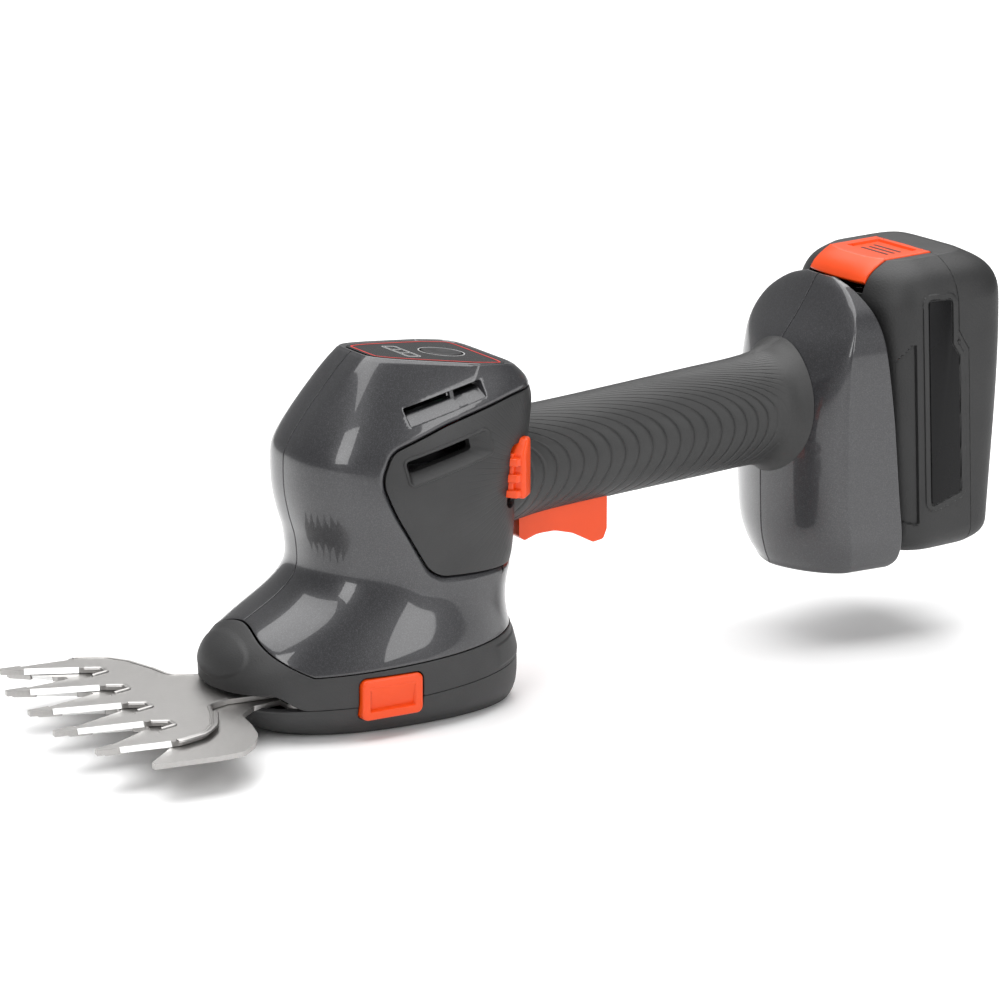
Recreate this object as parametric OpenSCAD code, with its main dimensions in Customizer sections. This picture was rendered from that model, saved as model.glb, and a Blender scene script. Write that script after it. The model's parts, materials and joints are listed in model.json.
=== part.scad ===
// Cordless grass shears: toothed blades under a tall motor head, a round handle and a slide-on battery.
// Lengths are in millimetres. The nose points to -X, +Z is up and the sole stands on z = 0.
// The origin lies under the blade pivot. The left side is -Y.

/* [Head] */
// Height of the head's top front edge over the sole
head_h = 134.3; // [124:0.1:146]
// Length of the base, nose to heel
head_l = 123; // [116:0.5:132]
// Width of the base
head_w = 76; // [74:0.5:84]
// Wall of the head, handle and rear housing
shell_wall = 2.4; // [2:0.1:2.8]
// Height of the skirt's top seam at the sides
seam_side_h = 25; // [24:0.1:28]
// Height of the skirt's top seam over the nose
seam_nose_h = 40; // [38:0.1:44]
// Height of the skirt's top seam at the heel
seam_heel_h = 32; // [30:0.1:35]
// Height of the seam between skirt and sole cover, front
low_seam_front_h = 12.8; // [12:0.1:13.4]
// Height of the seam between skirt and sole cover, heel
low_seam_heel_h = 19; // [17:0.1:21]
// Top edge of the mouth that the blades pass through
mouth_top_h = 18.4; // [18:0.1:19.5]
// Lower edge of the mouth
mouth_low_h = 12.4; // [11.8:0.1:12.6]

/* [Blades] */
// Thickness of each blade plate
blade_t = 1.8; // [1.4:0.1:2]
// Distance from the pivot to the middle tooth tips
blade_reach = 98.5; // [94:0.5:104]
// Distance between tooth tips
tooth_pitch = 26; // [24:0.2:27]
// Distance from the pivot to the root of the tooth gaps
gap_root_reach = 57; // [54:0.5:60]
// Width of a tooth at its tip
tooth_tip_w = 2.6; // [2:0.1:3.4]
// Width of a tooth gap at its root
gap_root_w = 11; // [9:0.2:12]
// Distance from the pivot to the root of the lower blade's gaps
low_gap_root_reach = 67; // [64:0.5:70]
// Width of the lower blade's gaps at their root
low_gap_root_w = 4.6; // [4:0.1:6]
// Angle from the middle at which the upper blade has stopped
rest_turn = 5.3; // [4:0.1:6.5]

/* [Handle] */
// Length of the handle from the head to the rear housing
handle_l = 114.6; // [106:0.2:124]
// Height of the grip at its middle
grip_h = 38; // [36:0.5:41]
// Width of the grip at its middle
grip_w = 34.4; // [33:0.2:38]
// Height of the grip's axis where it leaves the head
grip_axis_h = 84; // [82:0.1:87]
// Radius of the collar where the grip enters the rear housing
collar_r = 22.3; // [21:0.1:23.5]

/* [Rear housing] */
// Height of the rear housing
rear_h = 113.5; // [108:0.5:120]
// Width of the rear housing
rear_w = 72.4; // [71:0.2:76]
// Length of the rear housing
rear_l = 42.4; // [40:0.2:46]
// Height of the rear housing's underside over the sole plane
rear_base_h = 28; // [24:0.5:32]

/* [Battery] */
// Height of the battery
bat_h = 112.6; // [110:0.2:118]
// Width of the battery
bat_w = 74; // [73:0.5:78]
// Depth of the battery
bat_d = 50; // [48:0.5:54]
// Height of the battery's underside over the sole plane
bat_base_h = 36; // [33:0.5:39]
// Wall beside the ends of the cells
cell_end_wall = 4.5; // [4:0.1:6]
// Floor under the cells
cell_low = 3.9; // [3.4:0.1:4.6]
// Gap between cells
cell_gap = 0.6; // [0.4:0.05:0.8]

/* [Controls] */
// Width of the trigger
trigger_w = 15; // [12:0.5:16]
// Length of the trigger
trigger_l = 38; // [34:0.5:40]
// Height of the lock slider's pads
lock_pad_h = 22; // [18:0.5:24]
// Width of the lock slider's pads
lock_pad_w = 11; // [9:0.5:12]
// Travel of the lock slider
lock_travel = 3.5; // [2:0.1:4]
// Length of the blade release buttons
release_l = 24.6; // [20:0.2:27]
// Height of the blade release buttons
release_h = 15; // [12:0.2:15.6]
// Travel of the blade release buttons
release_travel = 3; // [2:0.1:3.4]
// Diameter of the power button
power_d = 15; // [12:0.2:16]

/* [Drive] */
// Gear module
gear_m = 0.75; // [0.7:0.01:0.8]
// Width of the gear teeth
gear_t = 6; // [5:0.1:6.4]
// Diameter of the motor can
motor_d = 36; // [32:0.5:38]
// Room over the motor can for its end bell and the control board
motor_top_room = 40.4; // [36:0.1:46]
// Diameter of the motor shaft
motor_shaft_d = 4; // [3.4:0.1:4.6]
// Distance from the blade pivot to the crank axis
crank_arm = 24; // [23:0.1:25]
// Diameter of the crank pin
crank_pin_d = 6; // [5:0.1:6.6]
// Diameter of the blade pivot pin
pivot_d = 8; // [7:0.1:9]

/* [Fits] */
// Gap between parts that are seated on each other
fit = 0.25; // [0.2:0.01:0.3]
// Radial clearance of a running shaft
run_fit = 0.05; // [0.02:0.01:0.09]
// Clearance around parts that slide
slide_fit = 0.4; // [0.3:0.05:0.5]

/* [Hidden] */
$fn = 48;
// Steps around a half shell and up a shell
around_n = 16;
level_n = 14;
grip_level_n = 11;
grip_around_n = 12;
corner_n = 5;
// One overrun for all cuts
overrun = 1;

// The body's outline at shares of its height: front, widest and rear places as shares of the length,
// half width as a share, then the squareness of the section and how far its front tapers
body_row_shares = [
  [0.000, -0.106, 0.301, 0.720, 0.737, 2.30, 0.00], [0.022, -0.171, 0.285, 0.728, 0.855, 2.30, 0.00],
  [0.060, -0.228, 0.268, 0.732, 0.961, 2.30, 0.00], [0.104, -0.252, 0.260, 0.732, 1.000, 2.30, 0.00],
  [0.156, -0.262, 0.260, 0.726, 1.000, 2.30, 0.00], [0.200, -0.258, 0.268, 0.711, 0.987, 2.30, 0.00],
  [0.253, -0.218, 0.293, 0.696, 0.947, 2.30, 0.00], [0.298, -0.146, 0.309, 0.692, 0.911, 2.30, 0.00],
  [0.357, -0.034, 0.333, 0.700, 0.868, 2.35, 0.00], [0.417, 0.028, 0.358, 0.717, 0.850, 2.40, 0.00],
  [0.497, 0.030, 0.366, 0.721, 0.868, 2.45, 0.00], [0.566, 0.010, 0.366, 0.718, 0.903, 2.50, 0.00],
  [0.640, -0.006, 0.374, 0.728, 0.921, 2.50, 0.00], [0.736, -0.008, 0.390, 0.760, 0.900, 2.60, 0.02],
  [0.790, 0.021, 0.407, 0.768, 0.868, 2.70, 0.06], [0.844, 0.067, 0.431, 0.769, 0.816, 3.00, 0.12],
  [0.900, 0.120, 0.472, 0.752, 0.758, 3.60, 0.20], [0.953, 0.170, 0.512, 0.720, 0.700, 4.60, 0.30],
  [1.000, 0.220, 0.537, 0.671, 0.645, 6.00, 0.38]];
// The top falls to the rear, and the fall fades out down the head
top_slope = 0.12;
slope_from_share = 0.736;
// Angle from the nose at which the skirt's top seam meets the sides
nose_half_angle = 55;
mouth_half_angle = 40;
mouth_end_angle = 52;

// The rear housing at shares of its height: front, corner and rear places, half width
rear_row_shares = [
  [0.000, 0.505, 0.540, 0.599, 0.083], [0.004, 0.180, 0.528, 0.858, 0.608],
  [0.026, 0.122, 0.528, 0.976, 0.801], [0.070, 0.072, 0.481, 1.000, 0.925],
  [0.141, 0.030, 0.434, 0.988, 0.989], [0.247, 0.016, 0.399, 0.953, 1.000],
  [0.335, 0.010, 0.387, 0.929, 1.000], [0.564, 0.012, 0.387, 0.870, 0.994],
  [0.784, 0.185, 0.493, 0.788, 0.975], [0.846, 0.315, 0.552, 0.759, 0.939],
  [0.899, 0.420, 0.587, 0.729, 0.856], [0.943, 0.490, 0.599, 0.693, 0.732],
  [0.978, 0.545, 0.618, 0.658, 0.511], [1.000, 0.595, 0.623, 0.642, 0.249]];
rear_squareness = 2;

// The grip at shares of its length: half height and half width as shares of its middle's
grip_row_shares = [[0.00, 1.110, 1.270], [0.08, 1.075, 1.110], [0.20, 1.068, 1.050], [0.44, 1.080, 1.045],
  [0.70, 1.096, 1.085], [0.87, 1.100, 1.150], [0.96, 1.140, 1.230], [1.00, 1.174, 1.296]];
grip_rise = 0.0745;

// The battery at shares of its height: reach to the front, half width and reach to the rear
bat_row_shares = [[0.000, 0.740, 0.840, 0.830], [0.025, 0.900, 0.945, 0.990], [0.070, 1.000, 1.000, 1.070],
  [0.850, 1.000, 1.000, 1.400], [0.915, 0.930, 0.950, 1.370], [0.966, 0.790, 0.830, 1.220],
  [1.000, 0.560, 0.640, 0.960]];
bat_front_squareness = 2.6;
bat_rear_squareness = 6;
bat_tilt = 2.8;
bat_level_n = 10;

// Places along the tool
head_rear_share = 0.7235;
rear_x = head_l * head_rear_share + handle_l;
bat_back_set = 17.5;
bat_x = rear_x + rear_l + bat_back_set;
collar_depth = 5.4;
grip_end_x = rear_x + collar_depth;

// Heights in the base
blade_gap = 0.25;
lower_blade_z = mouth_low_h + fit;
upper_blade_z = lower_blade_z + blade_t + blade_gap;
plate_rise = 1.7;
plate_z = upper_blade_z + blade_t + plate_rise;
plate_t = 3;
sole_floor_t = 2.6;
gear_rise = 5.2;
gear_z = plate_z + plate_t + gear_rise;
bridge_rise = 5.5;
bridge_z = gear_z + gear_t + bridge_rise;
bridge_t = 4;
motor_z = bridge_z + bridge_t;
motor_l = head_h - motor_top_room - motor_z;

// Drive
gear_n = 56;
pinion_n = 14;
pressure_angle = 20;
backlash_share = 0.12;
addendum_share = 0.9;
dedendum_share = 1.3;
gear_span = gear_m * (gear_n + pinion_n) / 2;
motor_x = crank_arm + gear_span;
// Half of the angle that brings the upper teeth from one lower tooth to the next
swing = asin(tooth_pitch / 2 / blade_reach);
crank_throw = crank_arm * sin(swing);
// The crank turns evenly with the blade: a quarter turn each way from the middle
rest_crank = 90 * rest_turn / swing;
// Room in the fork for the difference between a turning crank and an even swing
fork_room = 0.9;
crank_shaft_d = 8;
crank_shaft_l = 13;
bearing_d = 19;
motor_wall = 1.5;
end_bell_t = 5;
bush_d = 9;
bush_l = 4;
pinion_l = gear_t + fit;
armature_d = 24;
// Lengths of the armature's parts as shares of the can's
armature_share = 0.577;
armature_lift_share = 0.173;
commutator_share = 0.135;
commutator_gap_share = 0.038;
armature_l = motor_l * armature_share;
armature_lift = motor_l * armature_lift_share;
commutator_d = 12;
commutator_l = motor_l * commutator_share;
commutator_gap = motor_l * commutator_gap_share;
shaft_tail = 3;

// Points and curves

function column(rows, j) = [for (row = rows) row[j]];
function span_of(u, us, i = 0) = (i >= len(us) - 2 || u <= us[i + 1]) ? i : span_of(u, us, i + 1);
// The slope at a point of a curve: level at a turning point, so that the curve doesn't overshoot
function tangent(us, vs, i) =
  let (lo = max(0, i - 1), hi = min(len(us) - 1, i + 1), turns = (vs[hi] - vs[i]) * (vs[i] - vs[lo]) <= 0)
  lo < i && hi > i && turns ? 0 : (vs[hi] - vs[lo]) / (us[hi] - us[lo]);
// A smooth curve through the points (us, vs)
function curve(u, us, vs) =
  let (i = span_of(u, us), h = us[i + 1] - us[i], t = max(0, min(1, (u - us[i]) / h)))
  (2 * t ^ 3 - 3 * t ^ 2 + 1) * vs[i] + (t ^ 3 - 2 * t ^ 2 + t) * h * tangent(us, vs, i)
  + (3 * t ^ 2 - 2 * t ^ 3) * vs[i + 1] + (t ^ 3 - t ^ 2) * h * tangent(us, vs, i + 1);
function squared(c, s, n) = (abs(c) ^ n + abs(s) ^ n) ^ (-1 / n);
function eased(u) = let (t = max(0, min(1, u))) t * t * (3 - 2 * t);
function unit(v) = v / norm(v);
// The arc of radius r that rounds the corner q between p and s
function corner_arc(p, q, s, r) =
  let (u = unit(p - q), w = unit(s - q), half = acos(u * w) / 2, c = q + unit(u + w) * r / sin(half),
       a = q + u * r / tan(half) - c, b = q + w * r / tan(half) - c, from = atan2(a[1], a[0]),
       turn = (atan2(b[1], b[0]) - from + 540) % 360 - 180)
  [for (i = [0:corner_n]) c + r * [cos(from + turn * i / corner_n), sin(from + turn * i / corner_n)]];
// An outline whose corners are rounded by their radii
function rounded(points, radii) =
  let (n = len(points))
  [for (i = [0:n - 1])
    each radii[i] == 0 ? [points[i]] : corner_arc(points[(i + n - 1) % n], points[i], points[(i + 1) % n],
        radii[i])];

body_us = column(body_row_shares, 0);
body_fronts = column(body_row_shares, 1);
body_middles = column(body_row_shares, 2);
body_rears = column(body_row_shares, 3);
body_widths = column(body_row_shares, 4);
body_squares = column(body_row_shares, 5);
body_tapers = column(body_row_shares, 6);
// A point of the body's surface at a level, at an angle from the heel, set in by a wall
function body_point(level, angle, inset = 0) =
  let (u = level / head_h, front = head_l * curve(u, body_us, body_fronts) + inset,
       middle = head_l * curve(u, body_us, body_middles),
       rear = head_l * curve(u, body_us, body_rears) - inset,
       half = head_w / 2 * curve(u, body_us, body_widths) - inset, n = curve(u, body_us, body_squares),
       taper = curve(u, body_us, body_tapers), c = cos(angle), s = sin(angle), k = squared(c, s, n),
       reach = c < 0 ? middle - front : rear - middle, x = middle + reach * c * k,
       ahead = max(0, (middle - x) / (middle - front)),
       fall = max(0, (u - slope_from_share) / (1 - slope_from_share)) ^ 2)
  [x, half * s * k * (1 - taper * ahead), level - top_slope * (x - head_l * body_row_shares[18][1]) * fall];
// Where the body's rear surface lies at a side place and a height
function body_rear_x(y, z, inset = 0) =
  let (u = z / head_h, middle = head_l * curve(u, body_us, body_middles),
       n = curve(u, body_us, body_squares), half = head_w / 2 * curve(u, body_us, body_widths) - inset,
       reach = head_l * curve(u, body_us, body_rears) - inset - middle)
  middle + reach * max(0, 1 - (abs(y) / half) ^ n) ^ (1 / n);
// Heights of the seams at an angle from the heel
function from_nose(angle) = abs((angle + 360) % 360 - 180);
function seam_level(angle) =
  let (a = from_nose(angle))
  a < nose_half_angle
    ? seam_side_h + (seam_nose_h - seam_side_h) * cos(90 * a / nose_half_angle)
    : seam_side_h + (seam_heel_h - seam_side_h) * ((a - nose_half_angle) / (180 - nose_half_angle)) ^ 1.5;
function low_seam_level(angle) =
  let (a = from_nose(angle))
  low_seam_front_h + (low_seam_heel_h - low_seam_front_h) * max(0, (a - 80) / 100);
function mouth_share(angle) = 1 - eased((from_nose(angle) - mouth_half_angle) / (mouth_end_angle
    - mouth_half_angle));
function skirt_low_level(angle) =
  let (m = mouth_share(angle)) m * mouth_top_h + (1 - m) * (low_seam_level(angle) + seam_gap);
function sole_top_level(angle) =
  let (m = mouth_share(angle)) m * mouth_low_h + (1 - m) * low_seam_level(angle);
seam_gap = 0.2;

// Surfaces

// The four corners of a grid cell as two triangles, seen from outside
function cell(i, j, n, wrap, at, flip) =
  let (k = wrap ? (j + 1) % n : j + 1, a = at + i * n + j, b = at + i * n + k,
       c = at + (i + 1) * n + k, d = at + (i + 1) * n + j)
  flip ? [[a, c, b], [a, d, c]] : [[a, b, c], [a, c, d]];
function sheet(m, n, wrap, at, flip) =
  [for (i = [0:m - 2], j = [0:(wrap ? n - 1 : n - 2)]) each cell(i, j, n, wrap, at, flip)];
// The strip that joins a row of the outer grid to the same row of the inner grid
function rim(i, n, wrap, from, to, flip) =
  [for (j = [0:(wrap ? n - 1 : n - 2)])
    let (k = wrap ? (j + 1) % n : j + 1, a = from + i * n + j, b = from + i * n + k, c = to + i * n + k,
        d = to + i * n + j)
    each flip ? [[a, b, c], [a, c, d]] : [[a, c, b], [a, d, c]]];
function edge_strip(j, m, n, from, to, flip) =
  [for (i = [0:m - 2])
    let (a = from + i * n + j, b = from + (i + 1) * n + j, c = to + (i + 1) * n + j, d = to + i * n + j)
    each flip ? [[a, b, c], [a, c, d]] : [[a, c, b], [a, d, c]]];
function fan(i, n, at, centre, flip) =
  [for (j = [0:n - 1])
    let (a = at + i * n + j, b = at + i * n + (j + 1) % n) flip ? [a, b, centre] : [b, a, centre]];
function flat(rows) = [for (row = rows) each row];
function mean(points) = [for (j = [0:2]) let (v = column(points,
    j)) v * [for (p = points) 1 / len(points)]];

// A wall between an outer and an inner grid of points; closed grids wrap round
module wall_shell(outer, inner, wrap = false) {
  m = len(outer);
  n = len(outer[0]);
  at = m * n;
  polyhedron(concat(flat(outer), flat(inner)), concat(
    sheet(m, n, wrap, 0, true), sheet(m, n, wrap, at, false),
    rim(0, n, wrap, 0, at, true), rim(m - 1, n, wrap, 0, at, false),
    wrap ? [] : edge_strip(0, m, n, 0, at, false), wrap ? [] : edge_strip(n - 1, m, n, 0, at, true)));
}
// A cup: an outer and an inner grid joined at the top rows, each closed at its lowest row
module cup_shell(outer, inner) {
  m = len(outer);
  n = len(outer[0]);
  at = m * n;
  polyhedron(concat(flat(outer), flat(inner), [mean(outer[0]), mean(inner[0])]), concat(
    sheet(m, n, true, 0, true), sheet(m, n, true, at, false), rim(m - 1, n, true, 0, at, false),
    fan(0, n, 0, 2 * at, true), fan(0, n, at, 2 * at + 1, false)));
}
// A solid through closed rows of points
module loft(rows) {
  m = len(rows);
  n = len(rows[0]);
  polyhedron(concat(flat(rows), [mean(rows[0]), mean(rows[m - 1])]), concat(
    sheet(m, n, true, 0, true), fan(0, n, 0, m * n, true), fan(m - 1, n, 0, m * n + 1, false)));
}
// A coil of wire that stands on z = 0
module coil(radius, length, wire, turns) {
  wire_n = 6;
  step_n = 8;
  rows = [for (i = [0:turns * step_n])
    let (a = 360 * i / step_n, z = wire / 2 + (length - wire) * i / (turns * step_n))
    [for (j = [0:wire_n - 1])
      let (b = -360 * j / wire_n, r = radius - wire / 2 + wire / 2 * cos(b))
      [r * cos(a), r * sin(a), z + wire / 2 * sin(b)]]];
  loft(rows);
}
module box(low, high) {
  translate(low) cube(high - low);
}
module sideways(points, low, high) {
  translate([0, high, 0]) rotate([90, 0, 0]) linear_extrude(high - low) polygon(points);
}
module both_sides() {
  children();
  mirror([0, 1, 0]) children();
}
// Into the battery's own frame: its underside's centre, with its top leaning forward
module in_battery() {
  translate([bat_x, 0, bat_base_h]) rotate([0, -bat_tilt, 0]) children();
}

// Head

function half_angles(n) = [for (j = [0:n]) 180 + 180 * j / n];
function body_grid(inset) =
  [for (i = [0:level_n]) [for (a = half_angles(around_n))
    let (low = seam_level(a), u = i / level_n) body_point(low + (head_h - low) * u, a, inset)]];
// Corners of the soft side cover, seen from the side, as shares of the length and the height
side_cover_shares = [[0.86, 0.905], [0.64, 0.893], [0.40, 0.843], [0.215, 0.785], [0.180, 0.705], [0.215,
    0.610],
  [0.345, 0.410], [0.62, 0.395], [0.86, 0.400]];
side_cover_radii_shares = [0, 0.4, 0.4, 0.07, 0.09, 0.5, 0.10, 0.4, 0];
side_cover_points = [for (p = side_cover_shares) [p[0] * head_l, p[1] * head_h]];
// Its roundings follow the shorter of the two
side_cover_aspect_share = 0.916;
side_cover_round = min(head_l, head_h * side_cover_aspect_share);
side_cover_outline = rounded(side_cover_points, side_cover_round * side_cover_radii_shares);
// A vent slot in the side: its lower front corner, length, height and slope
vent_slope = 13;
upper_vent_shares = [0.285, 0.850];
lower_vent_shares = [0.270, 0.715];
vent_l = 31;
vent_h = 4.6;
vent_bar = 1.6;
vent_bar_share = 0.64;
module vent(place_shares, bar) {
  translate([place_shares[0] * head_l, -head_w, place_shares[1] * head_h]) rotate([0, -vent_slope, 0]) {
    box([0, 0, 0], [vent_l * vent_bar_share - bar / 2, head_w - shell_wall, vent_h]);
    box([vent_l * vent_bar_share + bar / 2, 0, 0], [vent_l, head_w - shell_wall, vent_h]);
  }
}
side_recess = 0.3;
passage_r = 12;
module handle_passage() {
  translate([rear_x - handle_l, 0, grip_axis_h]) rotate([0, 90, 0]) cylinder(r = passage_r, h = head_l,
      center = true);
}
module head_half() {
  difference() {
    wall_shell(body_grid(0), body_grid(shell_wall));
    sideways(side_cover_outline, -head_w, overrun);
    vent(upper_vent_shares, vent_bar);
  }
}
module head_shell_left() {
  color("#55565a") head_half();
}
module head_shell_right() {
  color("#55565a") difference() {
    mirror([0, 1, 0]) head_half();
    screw_holes(head_screws);
  }
}
// The cover is the same wall inside the outline, set in by a fit
module side_cover_half() {
  middle = mean([for (p = side_cover_outline) [p[0], p[1], 0]]);
  shrunk = [for (p = side_cover_outline)
    let (v = p - [middle[0], middle[1]]) [middle[0], middle[1]] + v * (1 - 1.6 * fit / norm(v))];
  difference() {
    intersection() {
      wall_shell(body_grid(side_recess), body_grid(shell_wall));
      sideways(shrunk, -head_w, overrun);
    }
    vent(lower_vent_shares, 0);
    handle_passage();
    at_lock_pad() lock_slot();
  }
}
module side_cover_left() {
  color("#3f4042") side_cover_half();
}
module side_cover_right() {
  color("#3f4042") mirror([0, 1, 0]) side_cover_half();
}

// Base

skirt_level_n = 6;
sole_level_n = 6;
ring_n = 2 * around_n;
ring_angles = [for (j = [0:ring_n - 1]) 360 * j / ring_n];
skirt_proud = 0.25;
function skirt_grid(inset) =
  [for (i = [0:skirt_level_n]) [for (a = ring_angles)
    let (low = skirt_low_level(a), high = seam_level(a) - seam_gap)
    body_point(low + (high - low) * i / skirt_level_n, a, inset)]];
function sole_grid(inset, lift) =
  [for (i = [0:sole_level_n]) [for (a = ring_angles)
    let (u = i / sole_level_n, high = sole_top_level(a), level = lift + (high - lift) * u)
    body_point(level, a, inset)]];
release_x_share = 0.18;
release_x = release_x_share * head_l;
release_lift = 2.7;
release_z = low_seam_front_h + release_lift;
module release_openings() {
  both_sides() box([release_x - release_l / 2 - slide_fit, -head_w, release_z - release_h / 2 - slide_fit],
    [release_x + release_l / 2 + slide_fit, -head_w / 2 + 3 * shell_wall, release_z + release_h / 2
        + slide_fit]);
}
module base_skirt() {
  color("#46474a") difference() {
    wall_shell(skirt_grid(-skirt_proud), skirt_grid(shell_wall), true);
    release_openings();
  }
}
// Posts on the sole's floor that the release springs push on
spring_post_l = 8;
spring_post_t = 2.4;
release_cap_t = 6;
plunger_l = 5.6;
plunger_w = 9;
plunger_h = 7;
release_spring_l = 8;
release_spring_d = 6;
release_wire = 0.8;
release_proud = 0.6;
release_face_y = head_w / 2 + release_proud;
plunger_end_y = release_face_y - release_cap_t - plunger_l;
spring_post_y = plunger_end_y - release_spring_l - 2 * fit;
spring_axis_z = lower_blade_z - 0.1 * plunger_h;
module sole_cover() {
  color("#3d3e41") difference() {
    union() {
      cup_shell(sole_grid(0, 0), sole_grid(shell_wall, sole_floor_t));
      both_sides() box([release_x - spring_post_l / 2, -spring_post_y, sole_floor_t / 2],
        [release_x + spring_post_l / 2, -spring_post_y + spring_post_t, spring_axis_z + plunger_h / 2]);
    }
    release_openings();
  }
}

// Top panel

panel_t = 3;
panel_levels = [panel_t, 0];
panel_inset = shell_wall + fit;
panel_sink = 0.4;
led_x_share = 0.385;
led_n = 3;
led_w = 5.2;
led_l = 3.6;
led_gap = 1.2;
power_x_share = 0.52;
board_drop = 7;
board_t = 1.6;
board_l = 26;
board_w = 26;
board_post_d = 4;
slope_angle = atan(top_slope);
panel_front_x = head_l * body_row_shares[18][1];
function panel_z(x) = head_h - top_slope * (x - panel_front_x) - panel_sink;
// Onto the sloping panel at a share of the length
module on_panel(x_share) {
  x = x_share * head_l;
  translate([x, 0, panel_z(x)]) rotate([0, slope_angle, 0]) children();
}
module led_cells(grow) {
  pitch = led_w + led_gap;
  on_panel(led_x_share) for (i = [0:led_n - 1])
    translate([0, (i - (led_n - 1) / 2) * pitch, 0])
      box([-led_l / 2 - grow, -led_w / 2 - grow, -panel_t / 2 - grow], [led_l / 2 + grow, led_w / 2 + grow,
          overrun]);
}
board_x_share = 0.47;
module board_posts() {
  on_panel(board_x_share) for (x = [-1, 1], y = [-1, 1])
    translate([x * (board_l / 2 - board_post_d / 2), y * (board_w / 2 - board_post_d / 2), -board_drop])
      cylinder(d = board_post_d, h = board_drop - panel_t / 2);
}
module control_panel() {
  rows = [for (drop = panel_levels) [for (a = ring_angles)
    body_point(head_h, a, panel_inset) - [0, 0, drop + panel_sink]]];
  color("#17181a") difference() {
    union() {
      loft(rows);
      board_posts();
    }
    led_cells(0);
    on_panel(power_x_share) translate([0, 0, -head_h / 2]) cylinder(d = power_d + 2 * slide_fit,
        h = head_h);
  }
}
module led_windows() {
  color("#d8dde0") difference() {
    led_cells(-run_fit);
    on_panel(led_x_share) translate([-head_l / 2, -head_w / 2, 0]) cube([head_l, head_w, head_h]);
  }
}
power_flange_t = 1.2;
power_flange_grow = 1.4;
module power_button() {
  color("#232427") on_panel(power_x_share) {
    translate([0, 0, -panel_t - fit]) cylinder(d = power_d, h = panel_t + 2 * fit);
    translate([0, 0, -panel_t - 2 * fit - power_flange_t])
      cylinder(d = power_d + 2 * power_flange_grow, h = power_flange_t);
    translate([0, 0, -panel_t - 2 * fit - power_flange_t / 2]) cylinder(d = power_d / 2, h = panel_t);
  }
}
chip_l = 9;
chip_t = 1.4;
// Height of the small switch under the power button
tact_h = 1.1;
module control_board() {
  color("#1f5a3c") on_panel(board_x_share) translate([0, 0, -board_drop - board_t]) {
    box([-board_l / 2, -board_w / 2, 0], [board_l / 2, board_w / 2, board_t]);
    translate([-chip_l, 0, -chip_t]) box([-chip_l / 2, -chip_l / 2, 0], [chip_l / 2, chip_l / 2, chip_t
        + board_t / 2]);
    translate([(power_x_share - board_x_share) * head_l, 0, 0]) cylinder(d = power_d / 3, h = board_t
        + tact_h);
  }
}

// Handle

grip_us = column(grip_row_shares, 0);
grip_heights = column(grip_row_shares, 1);
grip_widths = column(grip_row_shares, 2);
grip_x0 = rear_x - handle_l;
function grip_axis_z(x) = grip_axis_h + grip_rise * (x - grip_x0);
function grip_half_h(x) = grip_h / 2 * curve((x - grip_x0) / (grip_end_x - grip_x0), grip_us, grip_heights)
  + (collar_r - collar_base_r) * eased((x - grip_x0) / (grip_end_x - grip_x0));
// The grip's root spreads with the head's width
grip_root_share = 0.57484;
grip_root_l_share = 0.2;
grip_root_grow = head_w / 2 * grip_root_share - grip_w / 2 * grip_row_shares[0][2];
function grip_half_w(x) =
  let (u = (x - grip_x0) / (grip_end_x - grip_x0))
  grip_w / 2 * curve(u, grip_us, grip_widths) + (collar_r - collar_base_r) * eased(u)
  + grip_root_grow * eased(1 - u / grip_root_l_share);
collar_base_share = 1.174;
collar_base_r = grip_h / 2 * collar_base_share;
function grip_point(u, a, inset) =
  let (y0 = (grip_half_w(grip_x0) - inset) * sin(a), z0 = grip_axis_z(grip_x0) + (grip_half_h(grip_x0)
      - inset) * cos(a),
       start = body_rear_x(y0, z0) + fit, x = start + (grip_end_x - start) * u)
  [x, -(grip_half_w(x) - inset) * sin(a), grip_axis_z(x) + (grip_half_h(x) - inset) * cos(a)];
function grip_grid(inset) =
  [for (i = [0:grip_level_n]) [for (j = [0:grip_around_n]) grip_point(i / grip_level_n,
      180 * j / grip_around_n, inset)]];
trigger_set = 3.4;
trigger_x = grip_x0 + trigger_set;
trigger_room = 2.4;
module trigger_slot() {
  z = grip_axis_z(trigger_x);
  box([trigger_x - slide_fit, -trigger_w / 2 - slide_fit, z - grip_h],
    [trigger_x + trigger_l + trigger_room, trigger_w / 2 + slide_fit, z - grip_h / 4]);
}
module handle_half() {
  difference() {
    wall_shell(grip_grid(0), grip_grid(shell_wall));
    trigger_slot();
  }
}
module handle_left() {
  color("#3a3b3d") handle_half();
}
module handle_right() {
  color("#3a3b3d") difference() {
    mirror([0, 1, 0]) handle_half();
    screw_holes(grip_screws);
  }
}

// Rear housing

rear_us = column(rear_row_shares, 0);
rear_level_n = 16;
rear_around_n = 8;
function rear_row(u, inset, past) =
  let (x0 = rear_x + inset, l = rear_l, front = x0 + l * curve(u, rear_us, column(rear_row_shares, 1)),
       corner = max(front + inset / 2 + fit, x0 + l * curve(u, rear_us, column(rear_row_shares, 2))),
       rear = max(corner + fit, rear_x + l * curve(u, rear_us, column(rear_row_shares, 3))) + past,
       half = max(fit, rear_w / 2 * curve(u, rear_us, column(rear_row_shares, 4)) - inset),
       z = rear_base_h + inset + (rear_h - 2 * inset) * u)
  concat([for (j = [0:rear_around_n])
      let (a = 90 * j / rear_around_n, k = squared(cos(a), sin(a), rear_squareness))
      [corner - (corner - front) * cos(a) * k, -half * sin(a) * k, z]],
    [[rear, -half, z], [rear, past, z], [front, past, z]]);
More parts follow.
